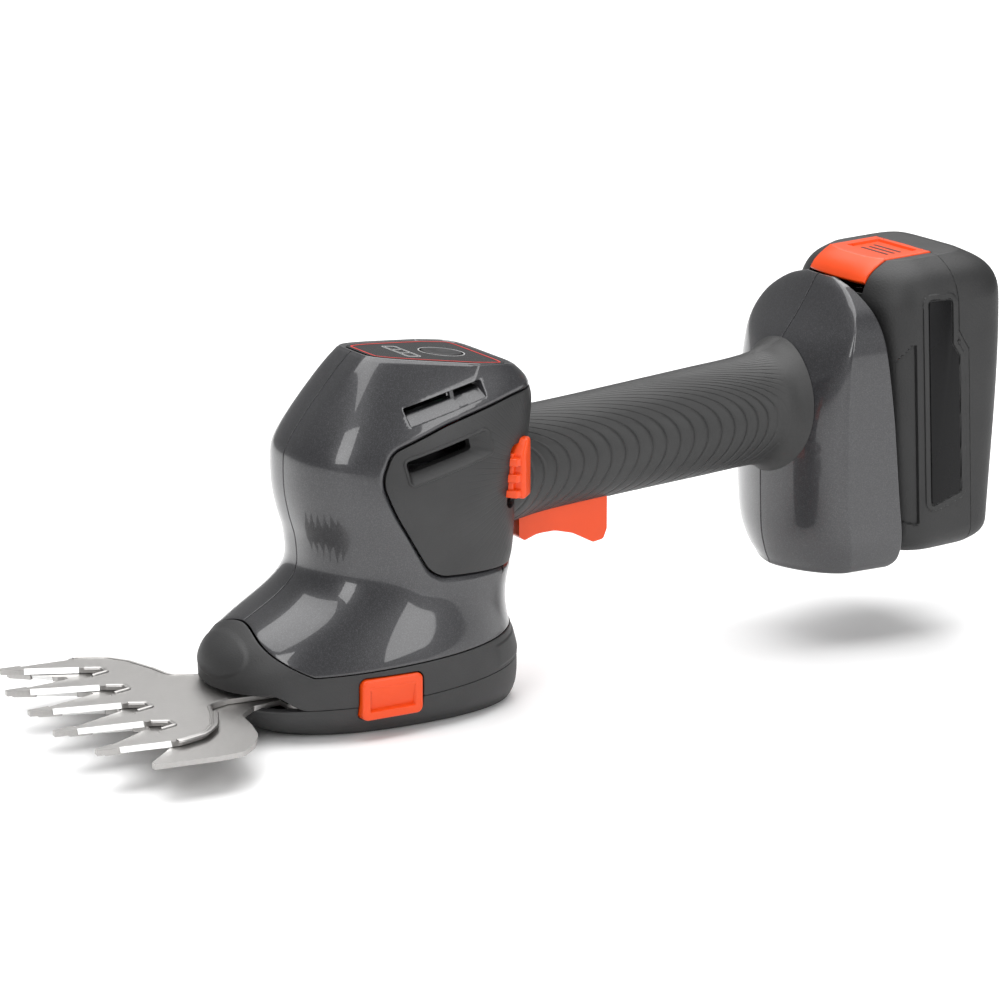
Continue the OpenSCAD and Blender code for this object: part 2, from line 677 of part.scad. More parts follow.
// Levels crowd together at the rounded top and underside
function rear_level(i) = (1 - cos(180 * i / rear_level_n)) / 2;
module rear_half() {
  difference() {
    loft([for (i = [0:rear_level_n]) rear_row(rear_level(i), 0, 0)]);
    loft([for (i = [0:rear_level_n]) rear_row(rear_level(i), shell_wall, overrun)]);
    translate([rear_x, 0, grip_axis_z(rear_x)]) rotate([0, 90, 0])
      cylinder(r = collar_r + fit, h = 4 * collar_depth, center = true);
  }
}
module rear_shell_left() {
  color("#55565a") rear_half();
}
module rear_shell_right() {
  color("#55565a") difference() {
    mirror([0, 1, 0]) rear_half();
    screw_holes(rear_screws);
  }
}
// The plate behind the housing's mouth, with the rails that the battery slides on
rail_plate_t = 3;
rail_front = -bat_d / 2 - slide_fit;
rail_plate_low = 4;
rail_plate_high_share = 0.70;
rail_y = 18;
rail_t = 2.5;
rail_lip = 4.5;
rail_depth = 10.4;
rail_low = 10;
rail_high_share = 0.66;
module rail_section(grow) {
  polygon([[rail_front - rail_plate_t / 2, rail_y - grow], [rail_front + rail_depth + grow, rail_y - grow],
    [rail_front + rail_depth + grow, rail_y + rail_t + rail_lip + grow],
    [rail_front + rail_depth - rail_t - grow, rail_y + rail_t + rail_lip + grow],
    [rail_front + rail_depth - rail_t - grow, rail_y + rail_t + grow],
    [rail_front - rail_plate_t / 2, rail_y + rail_t + grow]]);
}
module rail_plate() {
  color("#2c2d2f") {
    intersection() {
      in_battery() box([rail_front - rail_plate_t, -rear_w / 2, rail_plate_low],
        [rail_front, rear_w / 2, rail_plate_high_share * bat_h]);
      loft([for (i = [0:rear_level_n]) rear_row(rear_level(i), shell_wall + fit / 2, overrun)]);
    }
    in_battery() both_sides() translate([0, 0, rail_low]) linear_extrude(rail_high_share * bat_h
        - rail_low) rail_section(0);
  }
}
terminal_y = 7;
terminal_t = 1.2;
terminal_l = 13;
terminal_low_share = 0.42;
terminal_h = 14;
module terminal_blades(grow, low) {
  both_sides() box([rail_front - grow, terminal_y - terminal_t / 2 - grow, low],
    [rail_front + terminal_l + grow, terminal_y + terminal_t / 2 + grow, terminal_low_share * bat_h
        + terminal_h + grow]);
}
module tool_terminals() {
  color("#c9a24a") in_battery() terminal_blades(0, terminal_low_share * bat_h);
}

// Trigger and lock

pivot_set = 4.6;
trigger_pivot_x = trigger_x + pivot_set;
trigger_pin_d = 4;
trigger_pin_lift_share = 0.34;
trigger_pivot_z = grip_axis_z(trigger_x) - grip_h * trigger_pin_lift_share;
trigger_top_z = trigger_pivot_z + trigger_pin_d;
// The trigger's outline as shares of its length and of its drop below the top
trigger_drop = 24;
trigger_shares = [[0.00, 0.10], [0.00, 0.72], [0.06, 0.80], [0.20, 0.72], [0.40, 0.71], [0.62, 0.80],
    [0.84, 0.99],
  [0.96, 0.96], [1.00, 0.80], [1.00, 0.20], [0.94, 0.00], [0.10, 0.00]];
trigger_radii_shares = [0.02, 0.02, 0.03, 0.30, 0.30, 0.30, 0.06, 0.05, 0.05, 0.04, 0.04, 0.04];
trigger_points = [for (p = trigger_shares) [trigger_x + p[0] * trigger_l, trigger_top_z
    - p[1] * trigger_drop]];
module trigger() {
  color("#f0561e") difference() {
    sideways(rounded(trigger_points, trigger_l * trigger_radii_shares), -trigger_w / 2, trigger_w / 2);
    translate([trigger_pivot_x, 0, trigger_pivot_z]) rotate([90, 0, 0])
      cylinder(d = trigger_pin_d + 2 * run_fit, h = 2 * trigger_w, center = true);
  }
}
// The pin reaches the inside of the grip's walls
trigger_pin_half =
  let (h = grip_half_h(trigger_pivot_x) - shell_wall, d = grip_axis_z(trigger_pivot_x) - trigger_pivot_z
      + trigger_pin_d / 2)
  (grip_half_w(trigger_pivot_x) - shell_wall) * sqrt(1 - (d / h) ^ 2) - 2 * fit;
module trigger_pin() {
  color("#9a9b9d") translate([trigger_pivot_x, 0, trigger_pivot_z]) rotate([90, 0, 0])
    cylinder(d = trigger_pin_d, h = 2 * trigger_pin_half, center = true);
}
carrier_t = 3;
carrier_lift_share = 0.09;
carrier_x = trigger_x + trigger_l / 4;
carrier_l = trigger_l;
carrier_z = grip_axis_z(carrier_x) + grip_h * carrier_lift_share;
carrier_half =
  let (h = grip_h / 2 - shell_wall, d = carrier_z + carrier_t - grip_axis_z(carrier_x)) (grip_w / 2
      - shell_wall) * sqrt(1 - (d / h) ^ 2) - 2 * fit;
switch_l = 18;
switch_w = 10;
trigger_lift = 5.6;
module switch_carrier() {
  color("#2c2d2f")
    box([carrier_x, -carrier_half, carrier_z], [carrier_x + carrier_l, carrier_half, carrier_z + carrier_t]);
}
switch_x = trigger_x + trigger_l - switch_l;
module trigger_switch() {
  color("#1d1e20")
    box([switch_x, -switch_w / 2, trigger_top_z + trigger_lift],
      [switch_x + switch_l, switch_w / 2, carrier_z]);
}
trigger_spring_d = 6;
trigger_wire = 0.8;
spring_turns = 5;
trigger_spring_x = carrier_x + trigger_spring_d;
module trigger_spring() {
  color("#b8b9bb") translate([trigger_spring_x, 0, trigger_top_z + fit])
    coil(trigger_spring_d / 2, carrier_z - trigger_top_z - 2 * fit, trigger_wire, spring_turns);
}
// The lock's pads lie on the corner between the side and the rear of the head
lock_level_share = 0.67;
// The pads keep this far to the side of the handle
lock_set = 4.65;
lock_side = grip_half_w(grip_x0) + lock_set;
lock_half = head_w / 2 * curve(lock_level_share, body_us, body_widths);
lock_square = curve(lock_level_share, body_us, body_squares);
lock_angle = 360 - atan2(1, ((lock_half / lock_side) ^ lock_square - 1) ^ (1 / lock_square));
lock_z = lock_level_share * head_h;
lock_place = body_point(lock_z, lock_angle);
lock_ahead = body_point(lock_z, lock_angle + 2) - body_point(lock_z, lock_angle - 2);
lock_turn = atan2(lock_ahead[1], lock_ahead[0]);
lock_proud = 4.4;
lock_stem_w = 5;
lock_stem_h = 8;
lock_stem_l = 11;
lock_bar_t = 6;
lock_bar_share = 0.62;
lock_bar_x = lock_place[0] - lock_stem_l * sin(lock_turn) * lock_bar_share;
lock_bar_half = -lock_place[1] - lock_stem_l * cos(lock_turn) * lock_bar_share;
// Local x runs along the surface to the rear, and local -y points outward
module at_lock_pad() {
  translate(lock_place) rotate([0, 0, lock_turn]) children();
}
module lock_slot() {
  box([-lock_stem_w / 2 - slide_fit, -lock_stem_l, -lock_stem_h / 2 - lock_travel - slide_fit],
    [lock_stem_w / 2 + slide_fit, lock_stem_l, lock_stem_h / 2 + slide_fit]);
}
lock_bevel = 3;
lock_notch_n = 3;
lock_notch_h = 3;
lock_notch_d = 2.2;
module lock_pad() {
  outline = rounded([[-lock_pad_w / 2, lock_proud], [-lock_pad_w / 2, -lock_proud + lock_bevel],
    [-lock_pad_w / 2 + lock_bevel / 2, -lock_proud], [lock_pad_w / 2 - lock_bevel / 2, -lock_proud],
    [lock_pad_w / 2, -lock_proud + lock_bevel], [lock_pad_w / 2 - lock_bevel, lock_proud]],
    [0, 0, lock_bevel / 2, lock_bevel / 2, 0, 0]);
  difference() {
    translate([0, 0, -lock_pad_h / 2]) linear_extrude(lock_pad_h) polygon(outline);
    for (i = [0:lock_notch_n - 1])
      translate([-lock_pad_w / 2, -lock_proud, (i - (lock_notch_n - 1) / 2) * 2 * lock_notch_h
          - lock_notch_h / 2])
        cube([lock_notch_d, 2 * lock_proud, lock_notch_h]);
  }
}
module lock_stem() {
  box([-lock_stem_w / 2, -lock_proud / 2, -lock_stem_h / 2], [lock_stem_w / 2, lock_stem_l,
      lock_stem_h / 2]);
}
// The head's outside, grown by a fit, which the pads lie on
lock_seat_n = 8;
module lock_seat() {
  low = lock_z - lock_pad_h;
  loft([for (i = [0:lock_seat_n]) [for (j = [0:2 * around_n - 1])
    body_point(low + 2 * lock_pad_h * i / lock_seat_n, 180 * j / around_n, -fit)]]);
}
module lock_slider() {
  color("#f0561e") union() {
    difference() {
      both_sides() at_lock_pad() lock_pad();
      lock_seat();
    }
    both_sides() at_lock_pad() lock_stem();
    box([lock_bar_x - lock_bar_t / 2, -lock_bar_half, lock_z - lock_bar_t / 2],
      [lock_bar_x + lock_bar_t / 2, lock_bar_half, lock_z + lock_bar_t / 2]);
  }
}
guide_drop = 22;
guide_t = 4;
guide_half = 8;
guide_l = 12;
guide_z = lock_z - guide_drop;
guide_end_x = min(body_rear_x(guide_half, guide_z, shell_wall), body_rear_x(guide_half, guide_z + guide_t,
    shell_wall)) - 2 * fit;
module lock_guide() {
  color("#2c2d2f")
    box([guide_end_x - guide_l, -guide_half, guide_z], [guide_end_x, guide_half, guide_z + guide_t]);
}
lock_spring_d = 5;
lock_wire = 0.7;
module lock_spring() {
  length = guide_drop - guide_t - lock_bar_t / 2 - 2 * fit;
  color("#b8b9bb") translate([lock_bar_x, 0, guide_z + guide_t + fit])
    coil(lock_spring_d / 2, length, lock_wire, spring_turns);
}

// Blade release

release_edge = 2.5;
recess_share = 0.55;
recess_d = 1.4;
module release_cap() {
  outline = rounded([[-release_l / 2, -release_h / 2], [release_l / 2, -release_h / 2], [release_l / 2,
      release_h / 2],
    [-release_l / 2, release_h / 2]], [release_edge, release_edge, release_edge, release_edge]);
  translate([release_x, 0, release_z]) difference() {
    sideways(outline, -release_face_y, -release_face_y + release_cap_t);
    box([-release_l * recess_share / 2, -release_face_y - overrun, -release_h * recess_share / 2],
      [release_l * recess_share / 2, -release_face_y + recess_d, release_h * recess_share / 2]);
  }
  box([release_x - plunger_w / 2, -release_face_y + release_cap_t - fit, spring_axis_z - plunger_h / 2],
    [release_x + plunger_w / 2, -plunger_end_y, spring_axis_z + plunger_h / 2]);
}
module release_button_left() {
  color("#ff6a30") release_cap();
}
module release_button_right() {
  color("#ff6a30") mirror([0, 1, 0]) release_cap();
}
module release_springs() {
  color("#b8b9bb") both_sides()
    translate([release_x, -plunger_end_y + fit, spring_axis_z]) rotate([-90, 0, 0])
    coil(release_spring_d / 2, release_spring_l, release_wire, spring_turns);
}

// Blades

// Half of the blade's edge from the neck to the outer tooth, as shares of the reach and of the tooth pitch
neck_w = 34;
upper_side_shares = [[0.305, 0.000], [0.386, 0.135], [0.411, 0.500], [0.462, 1.000], [0.523, 1.290],
  [0.630, 1.450]];
lower_side_shares = [[0.244, 0.115], [0.329, 0.385], [0.354, 0.885], [0.382, 1.260], [0.435, 1.580],
  [0.510, 1.830], [0.609, 1.846]];
side_radii_shares = [0.06, 0.05, 0.12, 0.12, 0.12, 0.06, 0.06];
// Tooth tips from the middle outward: reach as a share, and side place in pitches
upper_tip_shares = [[1.000, 0.0], [0.997, 1.0], [0.934, 2.0]];
lower_tip_shares = [[0.945, 0.5], [0.928, 1.5], [0.845, 2.35]];
// The gaps draw together towards their roots
gap_shrink = 0.90;
gap_neck_share = 0.6;
gap_corner_share = 0.26;
gap_radii_shares = [0, 0, 0.33, 0.2, 0.2, 0.33, 0, 0];
function tip_points(half, odd) = concat(
  [for (i = [len(half) - 1:-1:0]) [-half[i][0] * blade_reach, half[i][1] * tooth_pitch]],
  [for (i = [(odd ? 1 : 0):len(half) - 1]) [-half[i][0] * blade_reach, -half[i][1] * tooth_pitch]]);
// The outline of the gap between two tooth tips
function gap_outline(tip_a, tip_b, root_reach, root_w) =
  let (mid = (tip_a[1] + tip_b[1]) / 2 * gap_shrink, neck = -root_reach - root_w * gap_neck_share,
       a = tip_a - [0, tooth_tip_w / 2], b = tip_b + [0, tooth_tip_w / 2],
       corner = root_w * gap_corner_share, past = -blade_reach - overrun)
  rounded([[past, a[1]], a, [neck, mid + root_w / 2], [-root_reach, mid + corner],
    [-root_reach, mid - corner], [neck, mid - root_w / 2], b, [past, b[1]]], root_w * gap_radii_shares);
// The plate around the teeth
function plate_outline(tips, sides) =
  let (half = [for (p = sides) [-p[0] * blade_reach, neck_w / 2 + p[1] * tooth_pitch]], m = len(half),
       radii = [for (i = [0:m - 1]) i == 0 ? 0 : blade_reach * side_radii_shares[i]],
       ends = [for (t = tips) each [t + [0, tooth_tip_w / 2], t - [0, tooth_tip_w / 2]]])
  rounded(concat([[0, neck_w / 2]], half, ends, [for (i = [m - 1:-1:0]) [half[i][0], -half[i][1]]],
      [[0, -neck_w / 2]]),
    concat([0], radii, [for (e = ends) 0], [for (i = [m - 1:-1:0]) radii[i]], [0]));
module toothed_plate(tips, sides, root_reach, root_w) {
  difference() {
    linear_extrude(blade_t) polygon(plate_outline(tips, sides));
    translate([0, 0, -overrun]) for (i = [0:len(tips) - 2])
      linear_extrude(blade_t + 2 * overrun) polygon(gap_outline(tips[i], tips[i + 1], root_reach, root_w));
  }
}
tail_w = 17;
tail_l = 31;
module upper_blade() {
  fork_half = crank_pin_d / 2 + fork_room;
  color("#b9b7b3") translate([0, 0, upper_blade_z]) rotate([0, 0, -rest_turn]) difference() {
    union() {
      toothed_plate(tip_points(upper_tip_shares, true), upper_side_shares, gap_root_reach, gap_root_w);
      cylinder(d = neck_w, h = blade_t);
      box([0, -tail_w / 2, 0], [tail_l, tail_w / 2, blade_t]);
    }
    translate([0, 0, -overrun]) cylinder(d = pivot_d + 2 * run_fit, h = blade_t + 2 * overrun);
    box([crank_arm - fork_half, -fork_half, -overrun], [tail_l + overrun, fork_half, blade_t + overrun]);
  }
}
stud_x = -8;
stud_y = 22.5;
stud_d = 5;
module lower_blade() {
  color("#aeaca8") translate([0, 0, lower_blade_z]) difference() {
    union() {
      toothed_plate(tip_points(lower_tip_shares, false), lower_side_shares, low_gap_root_reach,
        low_gap_root_w);
      cylinder(d = neck_w, h = blade_t);
      both_sides() translate([stud_x, stud_y, 0]) cylinder(d = 2 * stud_d, h = blade_t);
      box([stud_x - stud_d, -stud_y, 0], [stud_x + stud_d, stud_y, blade_t]);
    }
    translate([0, 0, -overrun]) cylinder(d = pivot_d + 2 * run_fit, h = blade_t + 2 * overrun);
    both_sides() translate([stud_x, stud_y, -overrun]) cylinder(d = stud_d + 2 * run_fit, h = blade_t
        + 2 * overrun);
  }
}
pin_head_d = 14;
pin_head_t = 2;
nut_d = 12;
nut_t = 4;
module pivot_pin() {
  color("#8f9092") {
    translate([0, 0, lower_blade_z - pin_head_t - fit / 2]) cylinder(d = pin_head_d, h = pin_head_t);
    translate([0, 0, lower_blade_z - pin_head_t]) cylinder(d = pivot_d, h = plate_z + plate_t + nut_t
        - lower_blade_z + pin_head_t);
    translate([0, 0, plate_z + plate_t]) cylinder(d = nut_d, h = nut_t, $fn = 6);
  }
}

// Drive

function plate_edge(level, inset) = [for (a = ring_angles) let (p = body_point(level, a, inset)) [p[0],
    p[1]]];
orbit_room = 1;
module drive_plate() {
  color("#9c9da0") difference() {
    union() {
      translate([0, 0, plate_z]) linear_extrude(plate_t) polygon(plate_edge(plate_z, shell_wall + 2 * fit));
      both_sides() translate([stud_x, stud_y, lower_blade_z]) cylinder(d = stud_d, h = plate_z
          - lower_blade_z + plate_t / 2);
    }
    translate([0, 0, plate_z - overrun]) cylinder(d = pivot_d, h = plate_t + 2 * overrun);
    translate([crank_arm, 0, plate_z - overrun])
      cylinder(r = crank_throw + crank_pin_d / 2 + orbit_room, h = plate_t + 2 * overrun);
    both_sides() box([release_x - release_l / 2 - 2 * slide_fit, -head_w, plate_z - overrun],
      [release_x + release_l / 2 + 2 * slide_fit, -plunger_end_y - release_cap_t / 2 + release_travel,
          plate_z + plate_t + overrun]);
  }
}
// Involute teeth: half the tooth's angle at a radius
function involute(a) = tan(a) * 180 / PI - a;
function tooth_half(r, n) =
  let (base = gear_m * n / 2 * cos(pressure_angle))
  90 / n * (1 - backlash_share) + involute(pressure_angle) - (r <= base ? 0 : involute(acos(base / r)));
flank_n = 3;
function gear_outline(n) =
  let (root = gear_m * (n / 2 - dedendum_share), tip = gear_m * (n / 2 + addendum_share))
  [for (i = [0:n - 1]) let (a = 360 * i / n) each concat(
    [for (j = [0:flank_n]) let (r = root + (tip - root) * j / flank_n, b = a - tooth_half(r,
        n)) r * [cos(b), sin(b)]],
    [for (j = [flank_n:-1:0]) let (r = root + (tip - root) * j / flank_n, b = a + tooth_half(r,
        n)) r * [cos(b), sin(b)]])];
pin_foot_z = upper_blade_z + blade_gap / 2;
module crank_gear() {
  color("#d8d4c4") translate([crank_arm, 0, gear_z]) {
    linear_extrude(gear_t) polygon(gear_outline(gear_n));
    cylinder(d = crank_shaft_d, h = gear_t + crank_shaft_l);
    translate([crank_throw * cos(rest_crank), -crank_throw * sin(rest_crank), pin_foot_z - gear_z])
      cylinder(d = crank_pin_d, h = gear_z + gear_t / 2 - pin_foot_z);
  }
}
module crank_bearing() {
  color("#c4c5c7") translate([crank_arm, 0, bridge_z]) difference() {
    cylinder(d = bearing_d, h = bridge_t);
    translate([0, 0, -overrun]) cylinder(d = crank_shaft_d + 2 * run_fit, h = bridge_t + 2 * overrun);
  }
}
module gear_bridge() {
  color("#8a8b8e") translate([0, 0, bridge_z]) difference() {
    linear_extrude(bridge_t) polygon(plate_edge(bridge_z + bridge_t, shell_wall + 2 * fit));
    translate([crank_arm, 0, -overrun]) cylinder(d = bearing_d, h = bridge_t + 2 * overrun);
    translate([motor_x, 0, -overrun]) cylinder(d = gear_m * (pinion_n + 4), h = bridge_t + 2 * overrun);
  }
}
module motor_can() {
  color("#77787b") translate([motor_x, 0, motor_z]) difference() {
    cylinder(d = motor_d, h = motor_l);
    translate([0, 0, bush_l]) cylinder(d = motor_d - 2 * motor_wall, h = motor_l);
    translate([0, 0, -overrun]) cylinder(d = bush_d, h = bush_l + 2 * overrun);
  }
}
module motor_end_bell() {
  color("#222325") translate([motor_x, 0, motor_z + motor_l]) difference() {
    union() {
      cylinder(d = motor_d, h = end_bell_t);
      translate([0, 0, -end_bell_t / 2]) cylinder(d = motor_d - 2 * motor_wall - 2 * fit, h = end_bell_t);
    }
    translate([0, 0, -end_bell_t]) cylinder(d = bush_d, h = 3 * end_bell_t);
  }
}
module motor_bushes() {
  color("#b08d57") for (z = [motor_z, motor_z + motor_l + end_bell_t - bush_l])
    translate([motor_x, 0, z]) difference() {
      cylinder(d = bush_d, h = bush_l);
      translate([0, 0, -overrun]) cylinder(d = motor_shaft_d + 2 * run_fit, h = bush_l + 2 * overrun);
    }
}
module motor_armature() {
  color("#a05a2c") translate([motor_x, 0, 0]) {
    translate([0, 0, gear_z - fit]) cylinder(d = motor_shaft_d, h = motor_z + motor_l + end_bell_t
        + shaft_tail - gear_z);
    translate([0, 0, motor_z + armature_lift]) cylinder(d = armature_d, h = armature_l);
    translate([0, 0, motor_z + armature_lift + armature_l + commutator_gap]) cylinder(d = commutator_d,
        h = commutator_l);
  }
}
module drive_pinion() {
  color("#b9a26a") translate([motor_x, 0, gear_z - fit / 2]) difference() {
    rotate([0, 0, 180 + 180 / pinion_n]) linear_extrude(pinion_l) polygon(gear_outline(pinion_n));
    translate([0, 0, -overrun]) cylinder(d = motor_shaft_d, h = pinion_l + 2 * overrun);
  }
}

// Battery

bat_us = column(bat_row_shares, 0);
function bat_row(u, inset) =
  let (front = bat_d / 2 * curve(u, bat_us, column(bat_row_shares, 1)) - inset,
       rear = bat_d / 2 * curve(u, bat_us, column(bat_row_shares, 3)) - inset,
       half = bat_w / 2 * curve(u, bat_us, column(bat_row_shares, 2)) - inset)
  [for (a = ring_angles)
    let (c = cos(a), s = sin(a), k = squared(c, s, c < 0 ? bat_front_squareness : bat_rear_squareness))
    [(c < 0 ? front : rear) * c * k, half * s * k, u * bat_h]];
function bat_level(i) = (1 - cos(180 * i / bat_level_n)) / 2;
// The parting line, seen from the side, steps forward near the top
parting_x = 14;
parting_top_x = 9.5;
parting_low_share = 0.69;
parting_high_share = 0.76;
module rear_of_parting(grow) {
  sideways([[parting_x - grow, -overrun], [parting_x - grow, parting_low_share * bat_h],
    [parting_top_x - grow, parting_high_share * bat_h], [parting_top_x - grow, bat_h + overrun], [bat_d,
        bat_h + overrun],
    [bat_d, -overrun]], -bat_w, bat_w);
}
latch_front = -13;
latch_rear = 10.5;
latch_half = 18;
latch_travel = 3;
latch_drop = 12.5;
latch_low = bat_h - latch_drop;
latch_lean = 4;
latch_set = 2.2;
latch_high = bat_h - latch_set;
latch_spring_room = 1.6;
latch_spring_l = latch_travel + latch_spring_room;
// The cells lie across the battery and fill it from its floor to under the pressed latch
cell_n = 5;
cell_x = 8;
cell_room = 0.5;
cell_l = bat_w - 2 * cell_end_wall;
cell_pitch = (latch_low - latch_travel - 2 * cell_room - cell_low) / cell_n;
cell_d = cell_pitch - cell_gap;
cavity_front = cell_x - cell_d / 2 - 3 * cell_room;
cavity_rear = cell_x + cell_d / 2 + 3 * cell_room;
cavity_half = cell_l / 2 + 2 * cell_room;
cavity_high = cell_low + cell_n * cell_pitch + cell_room;
module cell_cavity() {
  box([cavity_front, -cavity_half, cell_low - cell_room], [cavity_rear, cavity_half, cavity_high]);
}
module latch_pocket() {
  box([-bat_d, -latch_half - slide_fit, latch_low - latch_spring_l - 2 * fit],
    [latch_rear + slide_fit, latch_half + slide_fit, bat_h + overrun]);
}
module battery_case_front() {
  color("#3a3b3d") in_battery() difference() {
    loft([for (i = [0:bat_level_n]) bat_row(bat_level(i), 0)]);
    rear_of_parting(fit / 2);
    cell_cavity();
    latch_pocket();
    translate([0, 0, -overrun]) both_sides() linear_extrude(rail_high_share * bat_h + slide_fit
        + overrun) rail_section(slide_fit);
    terminal_blades(slide_fit, -overrun);
    contact_blocks(fit);
  }
}
module battery_case_rear() {
  color("#343537") in_battery() difference() {
    intersection() {
      loft([for (i = [0:bat_level_n]) bat_row(bat_level(i), 0)]);
      rear_of_parting(-fit / 2);
    }
    cell_cavity();
    latch_pocket();
  }
}
label_low_share = 0.165;
label_high_share = 0.87;
label_front = -4.4;
label_l = 13.4;
label_t = 0.4;
module battery_labels() {
  color("#0e0e10") in_battery() both_sides()
    box([label_front, bat_w / 2 + fit / 5, label_low_share * bat_h], [label_front + label_l, bat_w / 2
        + label_t, label_high_share * bat_h]);
}
latch_rib_n = 4;
latch_rib = 1;
latch_well = 1.2;
module battery_latch() {
  outline = rounded([[latch_front, latch_low], [latch_rear, latch_low], [latch_rear, latch_high],
      [latch_front + latch_lean, latch_high]],
    [0, 0, latch_rib, latch_rib]);
  color("#ff6a30") in_battery() difference() {
    sideways(outline, -latch_half, latch_half);
    for (i = [0:latch_rib_n - 1])
      box([latch_rear - (2 * i + 4) * latch_rib * 2, -latch_half / 2, latch_high - latch_well],
        [latch_rear - (2 * i + 3) * latch_rib * 2, latch_half / 2, latch_high + overrun]);
  }
}
latch_spring_d = 8;
latch_wire = 0.7;
latch_turns = 3;
latch_spring_x_share = 0.65;
latch_spring_x = latch_front + latch_spring_d * latch_spring_x_share;
module latch_spring() {
  color("#b8b9bb") in_battery() translate([latch_spring_x, 0, latch_low - latch_spring_l - fit])
    coil(latch_spring_d / 2, latch_spring_l, latch_wire, latch_turns);
}
module battery_cells() {
  color("#4d7fb0") in_battery() for (i = [0:cell_n - 1])
    translate([cell_x, 0, cell_low + (i + 0.5) * cell_pitch]) rotate([90, 0, 0]) cylinder(d = cell_d,
        h = cell_l, center = true);
}
holder_t = 4;
holder_set = 4;
module cell_holders() {
  color("#1d1e20") in_battery() both_sides() difference() {
    box([cavity_front + cell_room, cell_l / 2 - holder_set - holder_t, cell_low], [cavity_rear - cell_room,
        cell_l / 2 - holder_set, cavity_high - cell_room]);
    for (i = [0:cell_n - 1])
      translate([cell_x, 0, cell_low + (i + 0.5) * cell_pitch]) rotate([90, 0, 0])
        cylinder(d = cell_d + cell_gap / 4, h = 2 * cell_l, center = true);
  }
}
contact_w = 4.4;
// Blocks between the terminal slots and the cells
module contact_blocks(grow) {
  both_sides() box([rail_front + terminal_l + slide_fit + fit, terminal_y - contact_w / 2 - grow,
      terminal_low_share * bat_h - grow],
    [cavity_front - fit + 2 * grow, terminal_y + contact_w / 2 + grow, terminal_low_share * bat_h
        + terminal_h + grow]);
}
module battery_contacts() {
  color("#c9a24a") in_battery() contact_blocks(0);
}

// Screws on the right side, each at a point of the surface

screw_head_d = 5.6;
screw_head_t = 2;
screw_d = 3;
screw_l = 12;
screw_sink = 0.7;
// The lower head screw clears the bridge
screw_room = 1.6;
head_screw_high_share = 0.935;
head_screw_levels = [bridge_z + bridge_t + screw_head_d / 2 + screw_room, head_screw_high_share * head_h];
grip_screw_shares = [0.48, 0.84];
rear_screw_shares = [0.20, 0.80];
rear_screw_x_share = 0.62;
head_screws = [for (level = head_screw_levels) body_point(level, 90)];
grip_screws = [for (u = grip_screw_shares)
  let (x = grip_x0 + u * (rear_x - grip_x0)) [x, grip_half_w(x), grip_axis_z(x)]];
rear_screws = [for (u = rear_screw_shares)
  [rear_x + rear_screw_x_share * rear_l, rear_w / 2 * curve(u, rear_us, column(rear_row_shares, 4)),
      rear_base_h + u * rear_h]];
module screw_holes(places) {
  for (p = places) translate(p) rotate([90, 0, 0]) cylinder(d = screw_head_d + fit, h = 2 * (screw_l
      + screw_sink + fit), center = true);
}
module housing_screws() {
  color("#2a2b2d") for (p = concat(head_screws, grip_screws, rear_screws))
    translate(p - [0, screw_sink, 0]) rotate([90, 0, 0]) {
      cylinder(d = screw_head_d, h = screw_head_t);
      cylinder(d = screw_d, h = screw_l);
    }
}

head_shell_left();
head_shell_right();
side_cover_left();
side_cover_right();
base_skirt();
sole_cover();
control_panel();
led_windows();
power_button();
control_board();
handle_left();
handle_right();
rear_shell_left();
rear_shell_right();
rail_plate();
tool_terminals();
trigger();
trigger_pin();
trigger_spring();
trigger_switch();
switch_carrier();
lock_slider();
lock_guide();
lock_spring();
release_button_left();
release_button_right();
release_springs();
upper_blade();
lower_blade();
pivot_pin();
drive_plate();
crank_gear();
crank_bearing();
gear_bridge();
motor_can();
motor_end_bell();
motor_bushes();
motor_armature();
drive_pinion();
battery_case_front();
battery_case_rear();
battery_labels();
battery_latch();
latch_spring();
battery_cells();
cell_holders();
battery_contacts();
housing_screws();
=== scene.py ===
import json
import math
from bisect import bisect_left

import bmesh
import bpy
from bpy.props import FloatProperty, FloatVectorProperty, PointerProperty
from mathutils import Matrix, Vector, kdtree


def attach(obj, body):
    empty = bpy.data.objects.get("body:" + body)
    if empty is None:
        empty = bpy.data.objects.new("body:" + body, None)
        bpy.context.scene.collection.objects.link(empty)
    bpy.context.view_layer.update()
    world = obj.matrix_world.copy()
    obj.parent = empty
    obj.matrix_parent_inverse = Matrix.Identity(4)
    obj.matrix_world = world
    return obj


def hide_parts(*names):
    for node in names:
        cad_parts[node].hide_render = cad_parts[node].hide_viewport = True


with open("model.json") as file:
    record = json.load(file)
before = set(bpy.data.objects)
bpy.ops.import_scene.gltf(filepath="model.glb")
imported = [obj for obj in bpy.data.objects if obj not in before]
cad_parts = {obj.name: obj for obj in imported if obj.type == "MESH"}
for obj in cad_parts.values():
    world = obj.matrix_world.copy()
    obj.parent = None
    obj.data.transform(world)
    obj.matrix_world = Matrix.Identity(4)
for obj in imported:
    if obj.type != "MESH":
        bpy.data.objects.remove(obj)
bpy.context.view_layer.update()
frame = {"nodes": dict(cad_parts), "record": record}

bl_info = {
    "name": "Cordless grass shears",
    "version": (1, 1, 0),
    "blender": (4, 5, 0),
    "location": "View3D > Sidebar > Shears",
    "description": "Dresses the packed grass shears with their outer pieces and finishes",
    "category": "Object",
}

# Lengths are in millimetres, with the sole on z = 0 and the blade pivot on x = y = 0
MM = 0.001
HALVINGS = 32
TINY = 1e-3


# Curves and outlines


def slope_at(us, vs, i):
    """The slope of a curve at its point i, level at a turning point."""
    lo, hi = max(0, i - 1), min(len(us) - 1, i + 1)
    if lo < i < hi and (vs[hi] - vs[i]) * (vs[i] - vs[lo]) <= 0:
        return 0.0
    return (vs[hi] - vs[lo]) / (us[hi] - us[lo])


